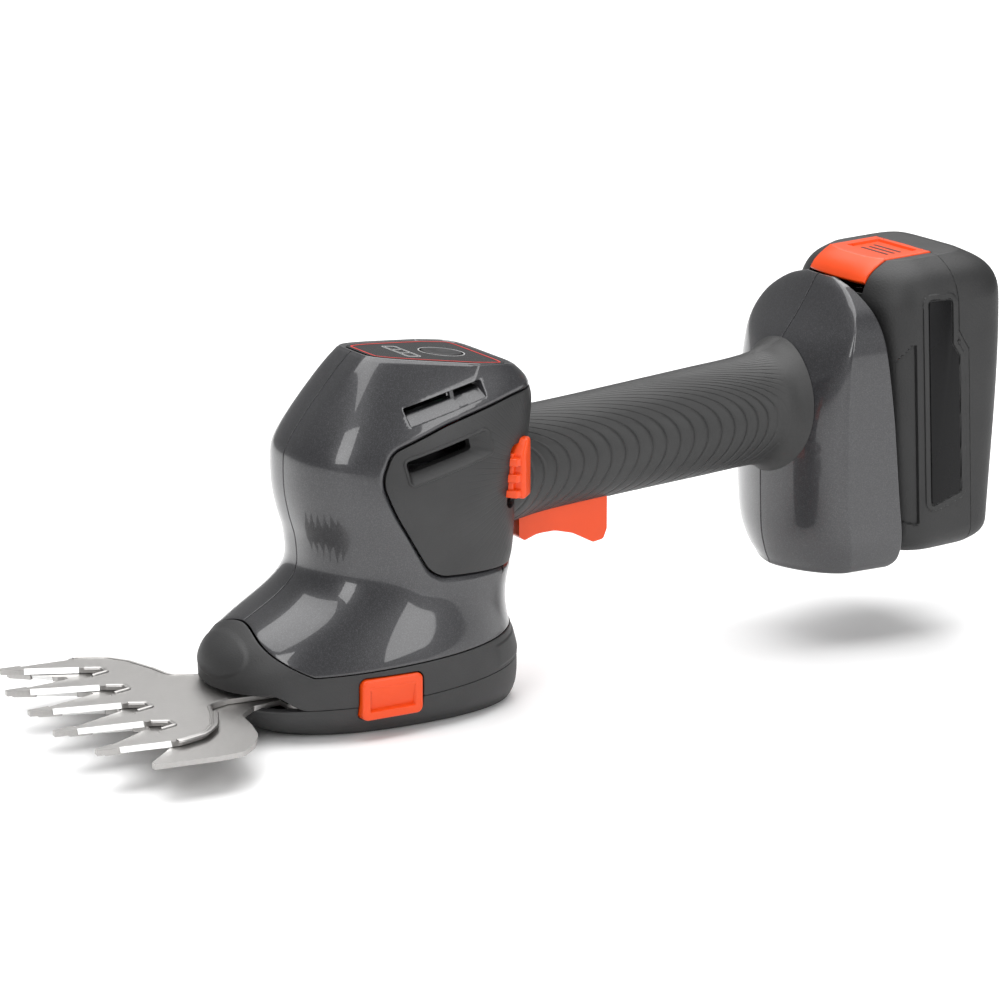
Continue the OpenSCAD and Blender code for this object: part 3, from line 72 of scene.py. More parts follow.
def curve(u, us, vs):
    """A smooth curve through the points (us, vs)."""
    i = 0
    while i < len(us) - 2 and u > us[i + 1]:
        i += 1
    h = us[i + 1] - us[i]
    t = min(1.0, max(0.0, (u - us[i]) / h))
    return ((2 * t**3 - 3 * t**2 + 1) * vs[i] + (t**3 - 2 * t**2 + t) * h * slope_at(us, vs, i)
            + (3 * t**2 - 2 * t**3) * vs[i + 1] + (t**3 - t**2) * h * slope_at(us, vs, i + 1))


class Column:
    """One column of a table, sampled finely and faired so that reflections flow."""

    def __init__(self, us, vs, spread, count=300):
        raw = [curve(i / count, us, vs) for i in range(count + 1)]
        pad = int(3 * spread)
        wide = ([2 * raw[0] - raw[k] for k in range(pad, 0, -1)] + raw
                + [2 * raw[-1] - raw[-1 - k] for k in range(1, pad + 1)])
        weights = [math.exp(-0.5 * (k / spread) ** 2) for k in range(-pad, pad + 1)]
        total = sum(weights)
        self.count = count
        self.fair = [sum(w * wide[i + k] for k, w in enumerate(weights)) / total for i in range(count + 1)]

    def __call__(self, u):
        at = min(1.0, max(0.0, u)) * self.count
        i = min(int(at), self.count - 1)
        return self.fair[i] + (self.fair[i + 1] - self.fair[i]) * (at - i)


def columns(rows, scales, spread):
    """The columns of a table of shares, each times its size."""
    us = [r[0] for r in rows]
    return [Column(us, [r[j + 1] * s for r in rows], spread) for j, s in enumerate(scales)]


def squared(c, s, n):
    return (abs(c) ** n + abs(s) ** n) ** (-1 / n)


def eased(u):
    t = min(1.0, max(0.0, u))
    return t * t * (3 - 2 * t)


def bisected(low, high, short_of):
    """Where a test that holds at low stops holding on the way to high."""
    for _ in range(HALVINGS):
        mid = (low + high) / 2
        if short_of(mid):
            low = mid
        else:
            high = mid
    return (low + high) / 2


def rounded(points, radii, steps=8):
    """An outline whose corners are rounded by their radii."""
    out, n = [], len(points)
    for i in range(n):
        p, q, s = (Vector(points[j % n]) for j in (i - 1, i, i + 1))
        if not radii[i]:
            out.append(q)
            continue
        u, w = (p - q).normalized(), (s - q).normalized()
        half = math.acos(max(-1.0, min(1.0, u.dot(w)))) / 2
        middle = q + (u + w).normalized() * radii[i] / math.sin(half)
        a, b = (q + v * radii[i] / math.tan(half) - middle for v in (u, w))
        start = math.atan2(a.y, a.x)
        turn = (math.atan2(b.y, b.x) - start + 3 * math.pi) % (2 * math.pi) - math.pi
        for k in range(steps + 1):
            angle = start + turn * k / steps
            out.append(middle + radii[i] * Vector((math.cos(angle), math.sin(angle))))
    return out


def oblong(left, low, right, high, radius, steps=4):
    return rounded([(left, low), (right, low), (right, high), (left, high)], [radius] * 4, steps)


def arc(x, y, radius, start, turn, steps):
    """Points along an arc, its two ends among them."""
    angles = [start + turn * k / steps for k in range(steps + 1)]
    return [Vector((x + radius * math.cos(a), y + radius * math.sin(a))) for a in angles]


def circle(x, y, radius, count=32):
    return arc(x, y, radius, 0.0, 2 * math.pi, count)[:-1]


def flipped(line):
    """A line on the other side, walked the other way."""
    return [Vector((p.x, -p.y)) for p in reversed(line)]


def spaced(outline, step):
    """A closed outline with points no further apart than a step."""
    out = []
    for p, q in zip(outline, outline[1:] + outline[:1]):
        parts = max(1, math.ceil((q - p).length / step))
        out += [p.lerp(q, k / parts) for k in range(parts)]
    return out


LEAST_STEP, LEAST_BEND = 0.3, 0.25


def thinned(outline, step):
    """A dense closed outline, with its points about a step apart."""
    out = [outline[0]]
    for p, after in zip(outline[1:], outline[2:] + outline[:1]):
        gone = (p - out[-1]).length
        bend = abs((p - out[-1]).angle_signed(after - p, 0)) if gone and (after - p).length else 0.0
        if gone >= step or (gone > LEAST_STEP and bend > LEAST_BEND):
            out.append(p)
    return out


def patterned(find, line, step, fine):
    """A closed line seen from the side, on a flat pattern."""
    return thinned([find(p.x, p.y) for p in spaced(line, fine)], step)


def grown(outline, length):
    """A closed outline moved outward by a length."""
    turn = sum(p.x * q.y - q.x * p.y for p, q in zip(outline, outline[1:] + outline[:1]))
    side = length if turn > 0 else -length
    out = []
    for i, p in enumerate(outline):
        along = (outline[(i + 1) % len(outline)] - outline[i - 1]).normalized()
        out.append(p + Vector((along.y, -along.x)) * side)
    return out


def inside(outline, x, y):
    hit = False
    for p, q in zip(outline, outline[1:] + outline[:1]):
        if (p.y > y) != (q.y > y) and x < (q.x - p.x) * (y - p.y) / (q.y - p.y) + p.x:
            hit = not hit
    return hit


# Meshes


def around(faces):
    """Faces with their edges and points."""
    faces = list(faces)
    return faces + list({e for f in faces for e in f.edges}) + list({v for f in faces for v in f.verts})


def parts_of(geom, kind):
    return [g for g in geom if isinstance(g, kind)]


def extent(face):
    """A face's least and greatest x, and least and greatest y."""
    xs, ys = [v.co.x for v in face.verts], [v.co.y for v in face.verts]
    return min(xs), max(xs), min(ys), max(ys)


def squares(box, size):
    """The squares of a coarse grid that a box covers."""
    return [(i, j) for i in range(int(box[0] // size), int(box[1] // size) + 1)
            for j in range(int(box[2] // size), int(box[3] // size) + 1)]


def open_edges(bm):
    return [e for e in bm.edges if e.is_boundary]


def edge_round(radius, depth, steps=4):
    """Rows that round an edge over and run on as a wall: how far out, and how far up."""
    rows = [(radius * math.sin(math.pi / 2 * k / steps), radius * (math.cos(math.pi / 2 * k / steps) - 1))
            for k in range(1, steps + 1)]
    return rows + [(radius, -depth)]


def drawn_on(bm, last, edges, places):
    """Draws a row of points and its edges on to new places, and returns the new row."""
    made = bmesh.ops.extrude_edge_only(bm, edges=edges)["geom"]
    fresh = {tuple(v.co): v for v in parts_of(made, bmesh.types.BMVert)}
    last = [fresh[tuple(v.co)] for v in last]
    own = set(last)
    edges = [e for e in parts_of(made, bmesh.types.BMEdge) if own.issuperset(e.verts)]
    for v, p in zip(last, places):
        v.co = p
    return last, edges


def carry_rim(bm, edges, rows, back=0.0, normal_of=None):
    """Carries open edges on through rows: (out, up) from the rim, or a function of the rim's point."""
    if not edges:
        return
    bm.normal_update()
    normals, ways = {}, {}
    for v in {v for e in edges for v in e.verts}:
        n = normal_of(v) if normal_of else None
        normals[v] = n if n else v.normal.copy()
    for e in edges:
        a, b = e.link_loops[0].vert, e.link_loops[0].link_loop_next.vert
        out = (b.co - a.co).cross(normals[a] + normals[b]).normalized()
        for v in e.verts:
            ways.setdefault(v, []).append(out)
    for v, outs in ways.items():
        way = outs[0]
        if len(outs) > 1:
            way = (outs[0] + outs[1]) / max(0.4, 1 + outs[0].dot(outs[1]))
        ways[v] = way - normals[v] * way.dot(normals[v])
    for v, way in ways.items():
        v.co -= way * back
    rim = last = list(ways)
    base = [v.co.copy() for v in rim]
    for row in rows:
        if callable(row):
            places = [row(b) for b in base]
        else:
            places = [b + ways[v] * row[0] + normals[v] * row[1] for v, b in zip(rim, base)]
        last, edges = drawn_on(bm, last, edges, places)


class Sheet:
    """A flat pattern that outlines cut, which is then laid on a surface and given rims."""

    def __init__(self, across, up, width, height, place, inner):
        self.bm = bmesh.new()
        bmesh.ops.create_grid(self.bm, x_segments=across, y_segments=up, size=0.5)
        bmesh.ops.translate(self.bm, verts=self.bm.verts, vec=(0.5, 0.5, 0))
        bmesh.ops.scale(self.bm, verts=self.bm.verts, vec=(width, height, 1))
        self.width, self.height = width, height
        self.cell = math.hypot(width / across, height / up)
        self.place, self.inner = place, Vector(inner)
        self.rim_id = self.bm.verts.layers.int.new("rim")
        self.at = {}

    def score(self, outline):
        """Cuts the faces along a closed outline, and returns the faces inside it."""
        dense = spaced(outline, self.cell / 2)
        tree = kdtree.KDTree(len(dense))
        for i, p in enumerate(dense):
            tree.insert((p.x, p.y, 0), i)
        tree.balance()
        size = 3 * self.cell
        near = {}

        def add(faces):
            for f in faces:
                for key in squares(extent(f), size):
                    near.setdefault(key, {})[f] = True

        add(f for f in self.bm.faces if tree.find(f.calc_center_median())[2] < 1.5 * self.cell)
        for p, q in zip(outline, outline[1:] + outline[:1]):
            length = (q - p).length
            if length < 1e-6:
                continue
            along = (q - p) / length
            across = Vector((-along.y, along.x))
            span = (min(p.x, q.x), max(p.x, q.x), min(p.y, q.y), max(p.y, q.y))
            hit = {}
            for key in squares(span, size):
                for f in near.get(key, ()):
                    box = extent(f)
                    if box[0] > span[1] or box[1] < span[0] or box[2] > span[3] or box[3] < span[2]:
                        continue
                    side = [(v.co.xy - p).dot(across) for v in f.verts]
                    if min(side) < -1e-5 and max(side) > 1e-5:
                        hit[f] = True
            if hit:
                made = bmesh.ops.bisect_plane(self.bm, geom=around(hit), dist=1e-5, plane_co=(p.x, p.y, 0),
                                              plane_no=(across.x, across.y, 0))["geom"]
                add(parts_of(made, bmesh.types.BMFace))
        xs, ys = [p.x for p in outline], [p.y for p in outline]
        lo, hi = Vector((min(xs), min(ys))), Vector((max(xs), max(ys)))
        out = []
        for f in self.bm.faces:
            mid = f.calc_center_median()
            if lo.x < mid.x < hi.x and lo.y < mid.y < hi.y and inside(outline, mid.x, mid.y):
                out.append(f)
        return out

    def at_border(self, e):
        for k, size in ((0, self.width), (1, self.height)):
            for end in (0.0, size):
                if all(abs(v.co[k] - end) < 1e-4 for v in e.verts):
                    return True
        return False

    def cut(self, outline, rim, keep=False):
        """Takes out what lies inside an outline, or with keep what lies outside it."""
        within = self.score(outline)
        if keep:
            kept = set(within)
            within = [f for f in self.bm.faces if f not in kept]
        bmesh.ops.delete(self.bm, geom=within, context="FACES")
        for e in open_edges(self.bm):
            if not self.at_border(e):
                for v in e.verts:
                    v[self.rim_id] = v[self.rim_id] or rim

    def snap(self, reach=0.4):
        """Draws points that almost touch a rim onto it, and joins rim points that almost touch."""
        short = {}
        for e in open_edges(self.bm):
            a, b = e.verts
            if e.calc_length() < reach / 2 and not {a, b} & (set(short) | set(short.values())):
                short[a] = b
        if short:
            bmesh.ops.weld_verts(self.bm, targetmap=short)
        rim = list({v for e in open_edges(self.bm) for v in e.verts})
        tree = kdtree.KDTree(len(rim))
        for i, v in enumerate(rim):
            tree.insert(v.co, i)
        tree.balance()
        own, near = set(rim), {}
        for v in self.bm.verts:
            if v not in own:
                _, i, d = tree.find(v.co)
                if d < reach:
                    near[v] = rim[i]
        if near:
            bmesh.ops.weld_verts(self.bm, targetmap=near)

    def lay(self):
        """Lays the pattern onto its surface, facing out."""
        for v in self.bm.verts:
            self.at[v] = v.co.xy.copy()
            v.co = self.place(v.co.x, v.co.y)
        self.bm.normal_update()
        vote = sum(f.normal.dot(f.calc_center_median() - self.inner) * f.calc_area() for f in self.bm.faces)
        if vote < 0:
            bmesh.ops.reverse_faces(self.bm, faces=self.bm.faces)
        self.side = 1 if vote > 0 else -1

    def normal(self, v):
        """The surface's own normal at a point of the pattern."""
        if v not in self.at:
            return None
        s, t = self.at[v]
        step = 0.05
        n = ((self.place(s + step, t) - self.place(s - step, t)).cross(self.place(s, t + step)
                                                                       - self.place(s, t - step)))
        return n.normalized() * self.side if n.length > 1e-7 else None

    def rim(self, which, rows, back=0.0):
        """Finishes the rim with a number, or the border where which(s, t) holds."""
        def chosen(v):
            return v in self.at and which(*self.at[v]) if callable(which) else v[self.rim_id] == which

        edges = [e for e in open_edges(self.bm) if all(chosen(v) for v in e.verts)]
        carry_rim(self.bm, edges, rows, back, self.normal)


def finish_mesh(bm, name, body, slot, replaces=(), looks=None, sharp=38):
    """Makes the piece's object from a mesh in millimetres, in the slot's finish unless looks are named."""
    bmesh.ops.dissolve_degenerate(bm, edges=bm.edges, dist=1e-4)
    bmesh.ops.scale(bm, verts=bm.verts, vec=(MM, MM, MM))
    bm.normal_update()
    for f in bm.faces:
        f.smooth = True
    for e in bm.edges:
        if len(e.link_faces) == 2 and e.calc_face_angle(0.0) > math.radians(sharp):
            e.smooth = False
    mesh = bpy.data.meshes.new(name)
    bm.to_mesh(mesh)
    bm.free()
    obj = bpy.data.objects.new(name, mesh)
    bpy.context.scene.collection.objects.link(obj)
    for look in looks or [slot]:
        mesh.materials.append(finishes()[look])
    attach(obj, body)
    if replaces:
        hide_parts(*replaces)
    return obj


def mirrored(bm):
    """The same mesh on the other side."""
    other = bm.copy()
    bmesh.ops.scale(other, verts=other.verts, vec=(1, -1, 1))
    bmesh.ops.reverse_faces(other, faces=other.faces)
    return other


def join(bm, other):
    """Adds another mesh to a mesh."""
    scratch = bpy.data.meshes.new("scratch")
    other.to_mesh(scratch)
    other.free()
    bm.from_mesh(scratch)
    bpy.data.meshes.remove(scratch)
    return bm


def plate(outline, place, depth, bevel, segments=3, holes=(), both=True):
    """A plate: outline points (a, b) set by place(a, b, d), from d = 0 to its depth, with bevelled rims."""
    bm = bmesh.new()
    edges = []
    for loop in [list(outline)] + [list(h) for h in holes]:
        vs = [bm.verts.new((p[0], p[1], 0)) for p in loop]
        edges += [bm.edges.new((a, b)) for a, b in zip(vs, vs[1:] + vs[:1])]
    if holes:
        bmesh.ops.triangle_fill(bm, use_beauty=True, use_dissolve=False, edges=edges, normal=(0, 0, 1))
    else:
        bmesh.ops.contextual_create(bm, geom=edges)
    made = bmesh.ops.extrude_face_region(bm, geom=list(bm.faces))["geom"]
    bmesh.ops.translate(bm, verts=parts_of(made, bmesh.types.BMVert), vec=(0, 0, depth))
    bmesh.ops.recalc_face_normals(bm, faces=bm.faces)
    if bevel:
        rims = [e for e in bm.edges if abs(e.verts[0].co.z - e.verts[1].co.z) < 1e-6
                and e.calc_face_angle(0.0) > 0.5 and (both or e.verts[0].co.z > depth / 2)]
        bmesh.ops.bevel(bm, geom=rims, offset=bevel, offset_type="OFFSET", affect="EDGES", segments=segments,
                        profile=0.5, material=-1, clamp_overlap=True)
    for v in bm.verts:
        v.co = place(v.co.x, v.co.y, v.co.z)
    bmesh.ops.recalc_face_normals(bm, faces=bm.faces)
    return bm


def loft(loops):
    """A closed skin through loops of equally many points."""
    bm = bmesh.new()
    last = [bm.verts.new(p) for p in loops[0]]
    edges = [bm.edges.new(pair) for pair in zip(last, last[1:] + last[:1])]
    bmesh.ops.contextual_create(bm, geom=edges)
    for loop in loops[1:]:
        last, edges = drawn_on(bm, last, edges, loop)
    bmesh.ops.contextual_create(bm, geom=edges)
    bmesh.ops.recalc_face_normals(bm, faces=bm.faces)
    return bm


def facing(bm, way):
    """The largest face that faces a way."""
    bm.normal_update()
    return max((f for f in bm.faces if f.normal.dot(way) > 0.9), key=lambda f: f.calc_area())


# Finishes


def new_material(name):
    mat = bpy.data.materials.new(name)
    mat.use_nodes = True
    tree = mat.node_tree
    coords = tree.nodes.new("ShaderNodeTexCoord")
    return mat, tree, tree.nodes["Principled BSDF"], coords.outputs["Object"]


def noise(tree, coords, scale, detail=2.0, rough=0.5):
    node = tree.nodes.new("ShaderNodeTexNoise")
    node.inputs["Scale"].default_value = scale
    node.inputs["Detail"].default_value = detail
    node.inputs["Roughness"].default_value = rough
    tree.links.new(coords, node.inputs["Vector"])
    return node.outputs["Fac"]


def ramp(tree, fac, stops):
    node = tree.nodes.new("ShaderNodeValToRGB")
    elements = node.color_ramp.elements
    while len(elements) < len(stops):
        elements.new(0.5)
    for el, (at, col) in zip(elements, stops):
        el.position = at
        el.color = (*col, 1)
    tree.links.new(fac, node.inputs["Fac"])
    return node.outputs["Color"]


def bump(tree, bsdf, height, strength, distance, invert=False):
    """Adds a bump to the shader, over the one that it has."""
    node = tree.nodes.new("ShaderNodeBump")
    node.invert = invert
    node.inputs["Strength"].default_value = strength
    node.inputs["Distance"].default_value = distance
    tree.links.new(height, node.inputs["Height"])
    for link in bsdf.inputs["Normal"].links:
        tree.links.new(link.from_socket, node.inputs["Normal"])
    tree.links.new(node.outputs["Normal"], bsdf.inputs["Normal"])


def toned(colour, amount):
    return tuple(max(0.0, c * amount) for c in colour)


def grey(value):
    return (value, value, value)


def plastic(name, colour, rough, grain, strength, coat=0.0, coat_rough=0.08, mottle=0.12, wear=0.04,
            gloss=0.5):
    """Moulded plastic: a slight mottle in the colour, a moulded grain and uneven gloss."""
    mat, tree, bsdf, coords = new_material(name)
    tone = ramp(tree, noise(tree, coords, 90, 3),
                [(0.25, toned(colour, 1 - mottle)), (0.75, toned(colour, 1 + mottle))])
    tree.links.new(tone, bsdf.inputs["Base Color"])
    uneven = ramp(tree, noise(tree, coords, 35), [(0.3, grey(rough - wear)), (0.7, grey(rough + wear))])
    tree.links.new(uneven, bsdf.inputs["Roughness"])
    bsdf.inputs["Specular IOR Level"].default_value = gloss
    bsdf.inputs["Coat Weight"].default_value = coat
    bsdf.inputs["Coat Roughness"].default_value = coat_rough
    bump(tree, bsdf, noise(tree, coords, grain), strength, 0.0002)
    return mat


def fleck_paint(name, colour, rough, coat):
    """Glossy moulding with a fine metallic fleck under a clear coat."""
    mat, tree, bsdf, coords = new_material(name)
    cells = tree.nodes.new("ShaderNodeTexVoronoi")
    cells.inputs["Scale"].default_value = 3800
    tree.links.new(coords, cells.inputs["Vector"])
    tone = ramp(tree, cells.outputs["Color"],
                [(0.2, toned(colour, 0.72)), (0.62, colour), (0.9, toned(colour, 1.65))])
    tree.links.new(tone, bsdf.inputs["Base Color"])
    uneven = ramp(tree, noise(tree, coords, 30), [(0.3, grey(rough - 0.03)), (0.7, grey(rough + 0.03))])
    tree.links.new(uneven, bsdf.inputs["Roughness"])
    bsdf.inputs["Metallic"].default_value = 0.25
    bsdf.inputs["Coat Weight"].default_value = coat
    bsdf.inputs["Coat Roughness"].default_value = 0.04
    return mat


def metal(name, colour, rough, stretch=(1, 1, 1), scale=900, strength=0.08, mottle=0.1):
    """Ground or drawn metal: fine marks along one way."""
    mat, tree, bsdf, coords = new_material(name)
    mapping = tree.nodes.new("ShaderNodeMapping")
    mapping.inputs["Scale"].default_value = stretch
    tree.links.new(coords, mapping.inputs["Vector"])
    marks = noise(tree, mapping.outputs["Vector"], scale, 3, 0.6)
    tone = ramp(tree, marks, [(0.3, toned(colour, 1 - mottle)), (0.7, toned(colour, 1 + mottle / 2))])
    tree.links.new(tone, bsdf.inputs["Base Color"])
    uneven = ramp(tree, marks, [(0.3, grey(rough - 0.06)), (0.7, grey(rough + 0.06))])
    tree.links.new(uneven, bsdf.inputs["Roughness"])
    bsdf.inputs["Metallic"].default_value = 1.0
    bump(tree, bsdf, marks, strength, 0.0001)
    return mat


def ray_lines(mat, x, z, count, reach):
    """Adds hairlines that fan out from a point of the side, and fade with the distance."""
    tree = mat.node_tree
    bsdf = tree.nodes["Principled BSDF"]
    coords = next(n for n in tree.nodes if n.type == "TEX_COORD").outputs["Object"]
    split = tree.nodes.new("ShaderNodeSeparateXYZ")
    tree.links.new(coords, split.inputs["Vector"])

    def sum_of(kind, a, b):
        node = tree.nodes.new("ShaderNodeMath")
        node.operation = kind
        for slot, value in enumerate((a, b)):
            if isinstance(value, (int, float)):
                node.inputs[slot].default_value = value
            else:
                tree.links.new(value, node.inputs[slot])
        return node.outputs["Value"]

    dx = sum_of("SUBTRACT", split.outputs["X"], x * MM)
    dz = sum_of("SUBTRACT", split.outputs["Z"], z * MM)
    turn = sum_of("MULTIPLY", sum_of("ARCTAN2", dz, dx), count)
    line = sum_of("POWER", sum_of("ABSOLUTE", sum_of("SINE", turn, 0), 0), 24.0)
    far = sum_of("SQRT", sum_of("ADD", sum_of("MULTIPLY", dx, dx), sum_of("MULTIPLY", dz, dz)), 0)
    fade = sum_of("MAXIMUM", sum_of("SUBTRACT", 1.0, sum_of("DIVIDE", far, reach * MM)), 0.0)
    bump(tree, bsdf, sum_of("MULTIPLY", line, fade), 0.35, 0.0003, invert=True)


def in_mm(context, *names):
    """Small sizes of the shears, in millimetres."""
    return [getattr(context.scene.shears_sizes, name) / MM for name in names]


FINISH = {}


def finishes():
    """Makes the finishes once."""
    if FINISH:
        return FINISH
    c = bpy.context.scene.shears_colours
    matte = tuple(c.matte_grey)
    FINISH["gloss_shell"] = fleck_paint("gloss_grey_fleck", tuple(c.gloss_grey), 0.34, 0.75)
    FINISH["matte_shell"] = plastic("matte_grey_grain", matte, 0.52, 1500, 0.35)
    FINISH["cover_soft"] = plastic("soft_cover_lines", toned(matte, 0.86), 0.5, 1700, 0.3)
    ray_lines(FINISH["cover_soft"], 93, 88, 44, 52)
    FINISH["battery_shell"] = plastic("battery_grey_grain", tuple(c.battery_grey), 0.5, 1300, 0.45)
    FINISH["soft_grip"] = plastic("soft_grip_grey", tuple(c.grip_grey), 0.5, 2200, 0.3)
    FINISH["orange"] = plastic("satin_orange", tuple(c.orange), 0.34, 900, 0.06, coat=0.12, coat_rough=0.2,
                               mottle=0.03, gloss=0.35)
    FINISH["panel_black"] = plastic("gloss_black_panel", (0.006, 0.006, 0.007), 0.22, 600, 0.02, gloss=0.18)
    FINISH["button_black"] = plastic("satin_black_button", (0.012, 0.012, 0.013), 0.34, 1400, 0.12, gloss=0.3)
    FINISH["label_black"] = plastic("gloss_black_label", (0.004, 0.004, 0.0045), 0.26, 500, 0.02, gloss=0.16)
    FINISH["inner_plastic"] = plastic("inner_black", (0.016, 0.016, 0.018), 0.5, 1200, 0.25)
    FINISH["red_line"] = plastic("red_line_print", (0.62, 0.02, 0.015), 0.3, 800, 0.04, mottle=0.04)
    FINISH["led_lens"] = plastic("clear_lens", (0.02, 0.02, 0.021), 0.15, 700, 0.02, mottle=0.04, gloss=0.3)
    FINISH["print_white"] = plastic("pale_print", (0.5, 0.5, 0.5), 0.35, 700, 0.02, mottle=0.04)
    FINISH["blade_steel"] = metal("satin_blade_steel", tuple(c.blade_steel), 0.42, (1, 3, 1), 700, 0.1)
    # The ground flanks' steel is near white. It is partly their ground finish and mostly a painted highlight
    # for the bright reflection the flanks catch.
    FINISH["ground_flank_painted_highlight"] = metal("ground_flank_steel_painted_highlight", (0.96, 0.96, 0.95), 0.42, (6, 1, 1), 700, 0.03, 0.0)
    FINISH["steel"] = metal("machined_steel", (0.5, 0.51, 0.52), 0.3)
    FINISH["die_cast"] = metal("die_cast_alloy", (0.55, 0.55, 0.56), 0.5, scale=500, strength=0.2)
    FINISH["spring_steel"] = metal("spring_wire", (0.55, 0.56, 0.57), 0.28)
    FINISH["brass"] = metal("machined_brass", (0.72, 0.5, 0.22), 0.3)
    FINISH["motor_steel"] = metal("plated_can", (0.38, 0.38, 0.4), 0.36, (1, 1, 4))
    FINISH["winding"] = metal("lacquered_winding", (0.5, 0.22, 0.09), 0.35, (1, 1, 12), 500, 0.4)
    FINISH["gear_plastic"] = plastic("natural_gear", (0.68, 0.63, 0.5), 0.45, 900, 0.1, mottle=0.05)
    FINISH["board"] = plastic("board_laminate", (0.02, 0.13, 0.06), 0.35, 900, 0.1)
    FINISH["cell_wrap"] = plastic("cell_sleeve", (0.08, 0.2, 0.42), 0.35, 700, 0.05, coat=0.3)
    return FINISH


# Head

HEAD_L, HEAD_H, HEAD_W = 123.0, 134.3, 76.0
HEAD_SHARES = [
    # height, front, widest place, rear, half width, squareness, taper
    (0.000, -0.106, 0.301, 0.720, 0.737, 2.30, 0.00), (0.022, -0.171, 0.285, 0.728, 0.855, 2.30, 0.00),
    (0.060, -0.228, 0.268, 0.732, 0.961, 2.30, 0.00), (0.104, -0.252, 0.260, 0.732, 1.000, 2.30, 0.00),
    (0.156, -0.262, 0.260, 0.726, 1.000, 2.30, 0.00), (0.200, -0.258, 0.268, 0.711, 0.987, 2.30, 0.00),
    (0.253, -0.218, 0.293, 0.696, 0.947, 2.30, 0.00), (0.298, -0.146, 0.309, 0.692, 0.911, 2.30, 0.00),
    (0.357, -0.034, 0.333, 0.700, 0.868, 2.35, 0.00), (0.417, 0.028, 0.358, 0.717, 0.850, 2.40, 0.00),
    (0.497, 0.030, 0.366, 0.721, 0.868, 2.45, 0.00), (0.566, 0.010, 0.366, 0.718, 0.903, 2.50, 0.00),
    (0.640, -0.006, 0.374, 0.728, 0.921, 2.50, 0.00), (0.736, -0.008, 0.390, 0.760, 0.900, 2.60, 0.02),
    (0.790, 0.021, 0.407, 0.768, 0.868, 2.70, 0.06), (0.844, 0.067, 0.431, 0.769, 0.816, 3.00, 0.12),
    (0.900, 0.120, 0.472, 0.752, 0.758, 3.60, 0.20), (0.953, 0.170, 0.512, 0.720, 0.700, 4.60, 0.30),
    (1.000, 0.220, 0.537, 0.671, 0.645, 6.00, 0.38)]
HEAD = columns(HEAD_SHARES, (HEAD_L, HEAD_L, HEAD_L, HEAD_W / 2, 1, 1), 5.0)
TOP_SLOPE, SLOPE_FROM, TOP_FRONT = 0.12, 0.736, 0.220 * HEAD_L
AXIS = Vector((45, 0, 80))


def head_point(level, angle):
    """A point of the head's surface; the angle in degrees runs from the heel, 180 at the nose."""
    u = level / HEAD_H
    front, middle, rear, half, n, taper = (col(u) for col in HEAD)
    c, s = math.cos(math.radians(angle)), math.sin(math.radians(angle))
    k = squared(c, s, n)
    x = middle + (middle - front if c < 0 else rear - middle) * c * k
    ahead = max(0.0, (middle - x) / (middle - front))
    fall = max(0.0, (u - SLOPE_FROM) / (1 - SLOPE_FROM)) ** 2
    return Vector((x, half * s * k * (1 - taper * ahead), level - TOP_SLOPE * (x - TOP_FRONT) * fall))


def head_rear(y, z):
    """Where the head's rear surface lies."""
    _, middle, rear, half, n, _ = (col(z / HEAD_H) for col in HEAD)
    return middle + (rear - middle) * max(0.0, 1 - (abs(y) / half) ** n) ** (1 / n)


def from_nose(angle):
    return abs(angle % 360 - 180)


# Seams round the foot: heights, and angles from the nose
SEAM_LEVEL, SEAM_NOSE, SEAM_HEEL, SEAM_TURN = 25.0, 15.0, 7.0, 55.0
LOW_SEAM_LEVEL, LOW_SEAM_HEEL, LOW_SEAM_TURN, SKIRT_GAP = 12.8, 6.2, 80.0, 0.2
MOUTH_TURN, MOUTH_EASE, MOUTH_TOP, MOUTH_LOW = 40.0, 12.0, 18.4, 12.4


def seam_level(angle):
    """Height of the seam between the skirt and the shells."""
    a = from_nose(angle)
    if a < SEAM_TURN:
        return SEAM_LEVEL + SEAM_NOSE * math.cos(math.radians(90 * a / SEAM_TURN))
    return SEAM_LEVEL + SEAM_HEEL * ((a - SEAM_TURN) / (180 - SEAM_TURN)) ** 1.5


def low_seam_level(angle):
    """Height of the seam between the skirt and the sole cover."""
    share = (from_nose(angle) - LOW_SEAM_TURN) / (180 - LOW_SEAM_TURN)
    return LOW_SEAM_LEVEL + LOW_SEAM_HEEL * max(0.0, share)


def by_mouth(angle, at_mouth, beside):
    """A height that differs over the mouth of the blades."""
    share = 1 - eased((from_nose(angle) - MOUTH_TURN) / MOUTH_EASE)
    return share * at_mouth + (1 - share) * beside


def skirt_low_level(angle):
    return by_mouth(angle, MOUTH_TOP, low_seam_level(angle) + SKIRT_GAP)


def sole_top_level(angle):
    return by_mouth(angle, MOUTH_LOW, low_seam_level(angle))


# The shells' flat pattern: round the side, and up
SPAN, RISE, PAST_HEEL, SHELL_GRID = 200.0, 110.0, 6.0, (150, 104)
SHELL_LOW = 0.1


def shell_place(s, t):
    """From the shell's flat pattern to the left side of the head."""
    angle = 180 + 180 * s / SPAN
    low = seam_level(angle) + SHELL_LOW
    return head_point(low + (HEAD_H - low) * t / RISE, angle)


def shell_find(x, z):
    """From a place seen from the side to the shell's flat pattern; past the heel it lies off the sheet."""
    level = z
    for _ in range(6):
        fall = max(0.0, (level / HEAD_H - SLOPE_FROM) / (1 - SLOPE_FROM)) ** 2
        level = min(HEAD_H, z + TOP_SLOPE * (x - TOP_FRONT) * fall)
    past = head_point(level, 360).x <= x
    angle = 360.0 if past else bisected(180.0, 360.0, lambda a: head_point(level, a).x < x)
    low = seam_level(angle) + SHELL_LOW
    s = (angle - 180) / 180 * SPAN + (PAST_HEEL if past else 0.0)
    return Vector((s, (level - low) / (HEAD_H - low) * RISE))


def shell_y(x, z):
    """How far to the side the head's surface lies."""
    p = shell_find(x, z)
    return shell_place(min(p.x, SPAN), p.y).y


def on_shell(line, step=1.0):
    """A closed line seen from the side, on the shells' flat pattern."""
    return patterned(shell_find, line, step, 0.35)


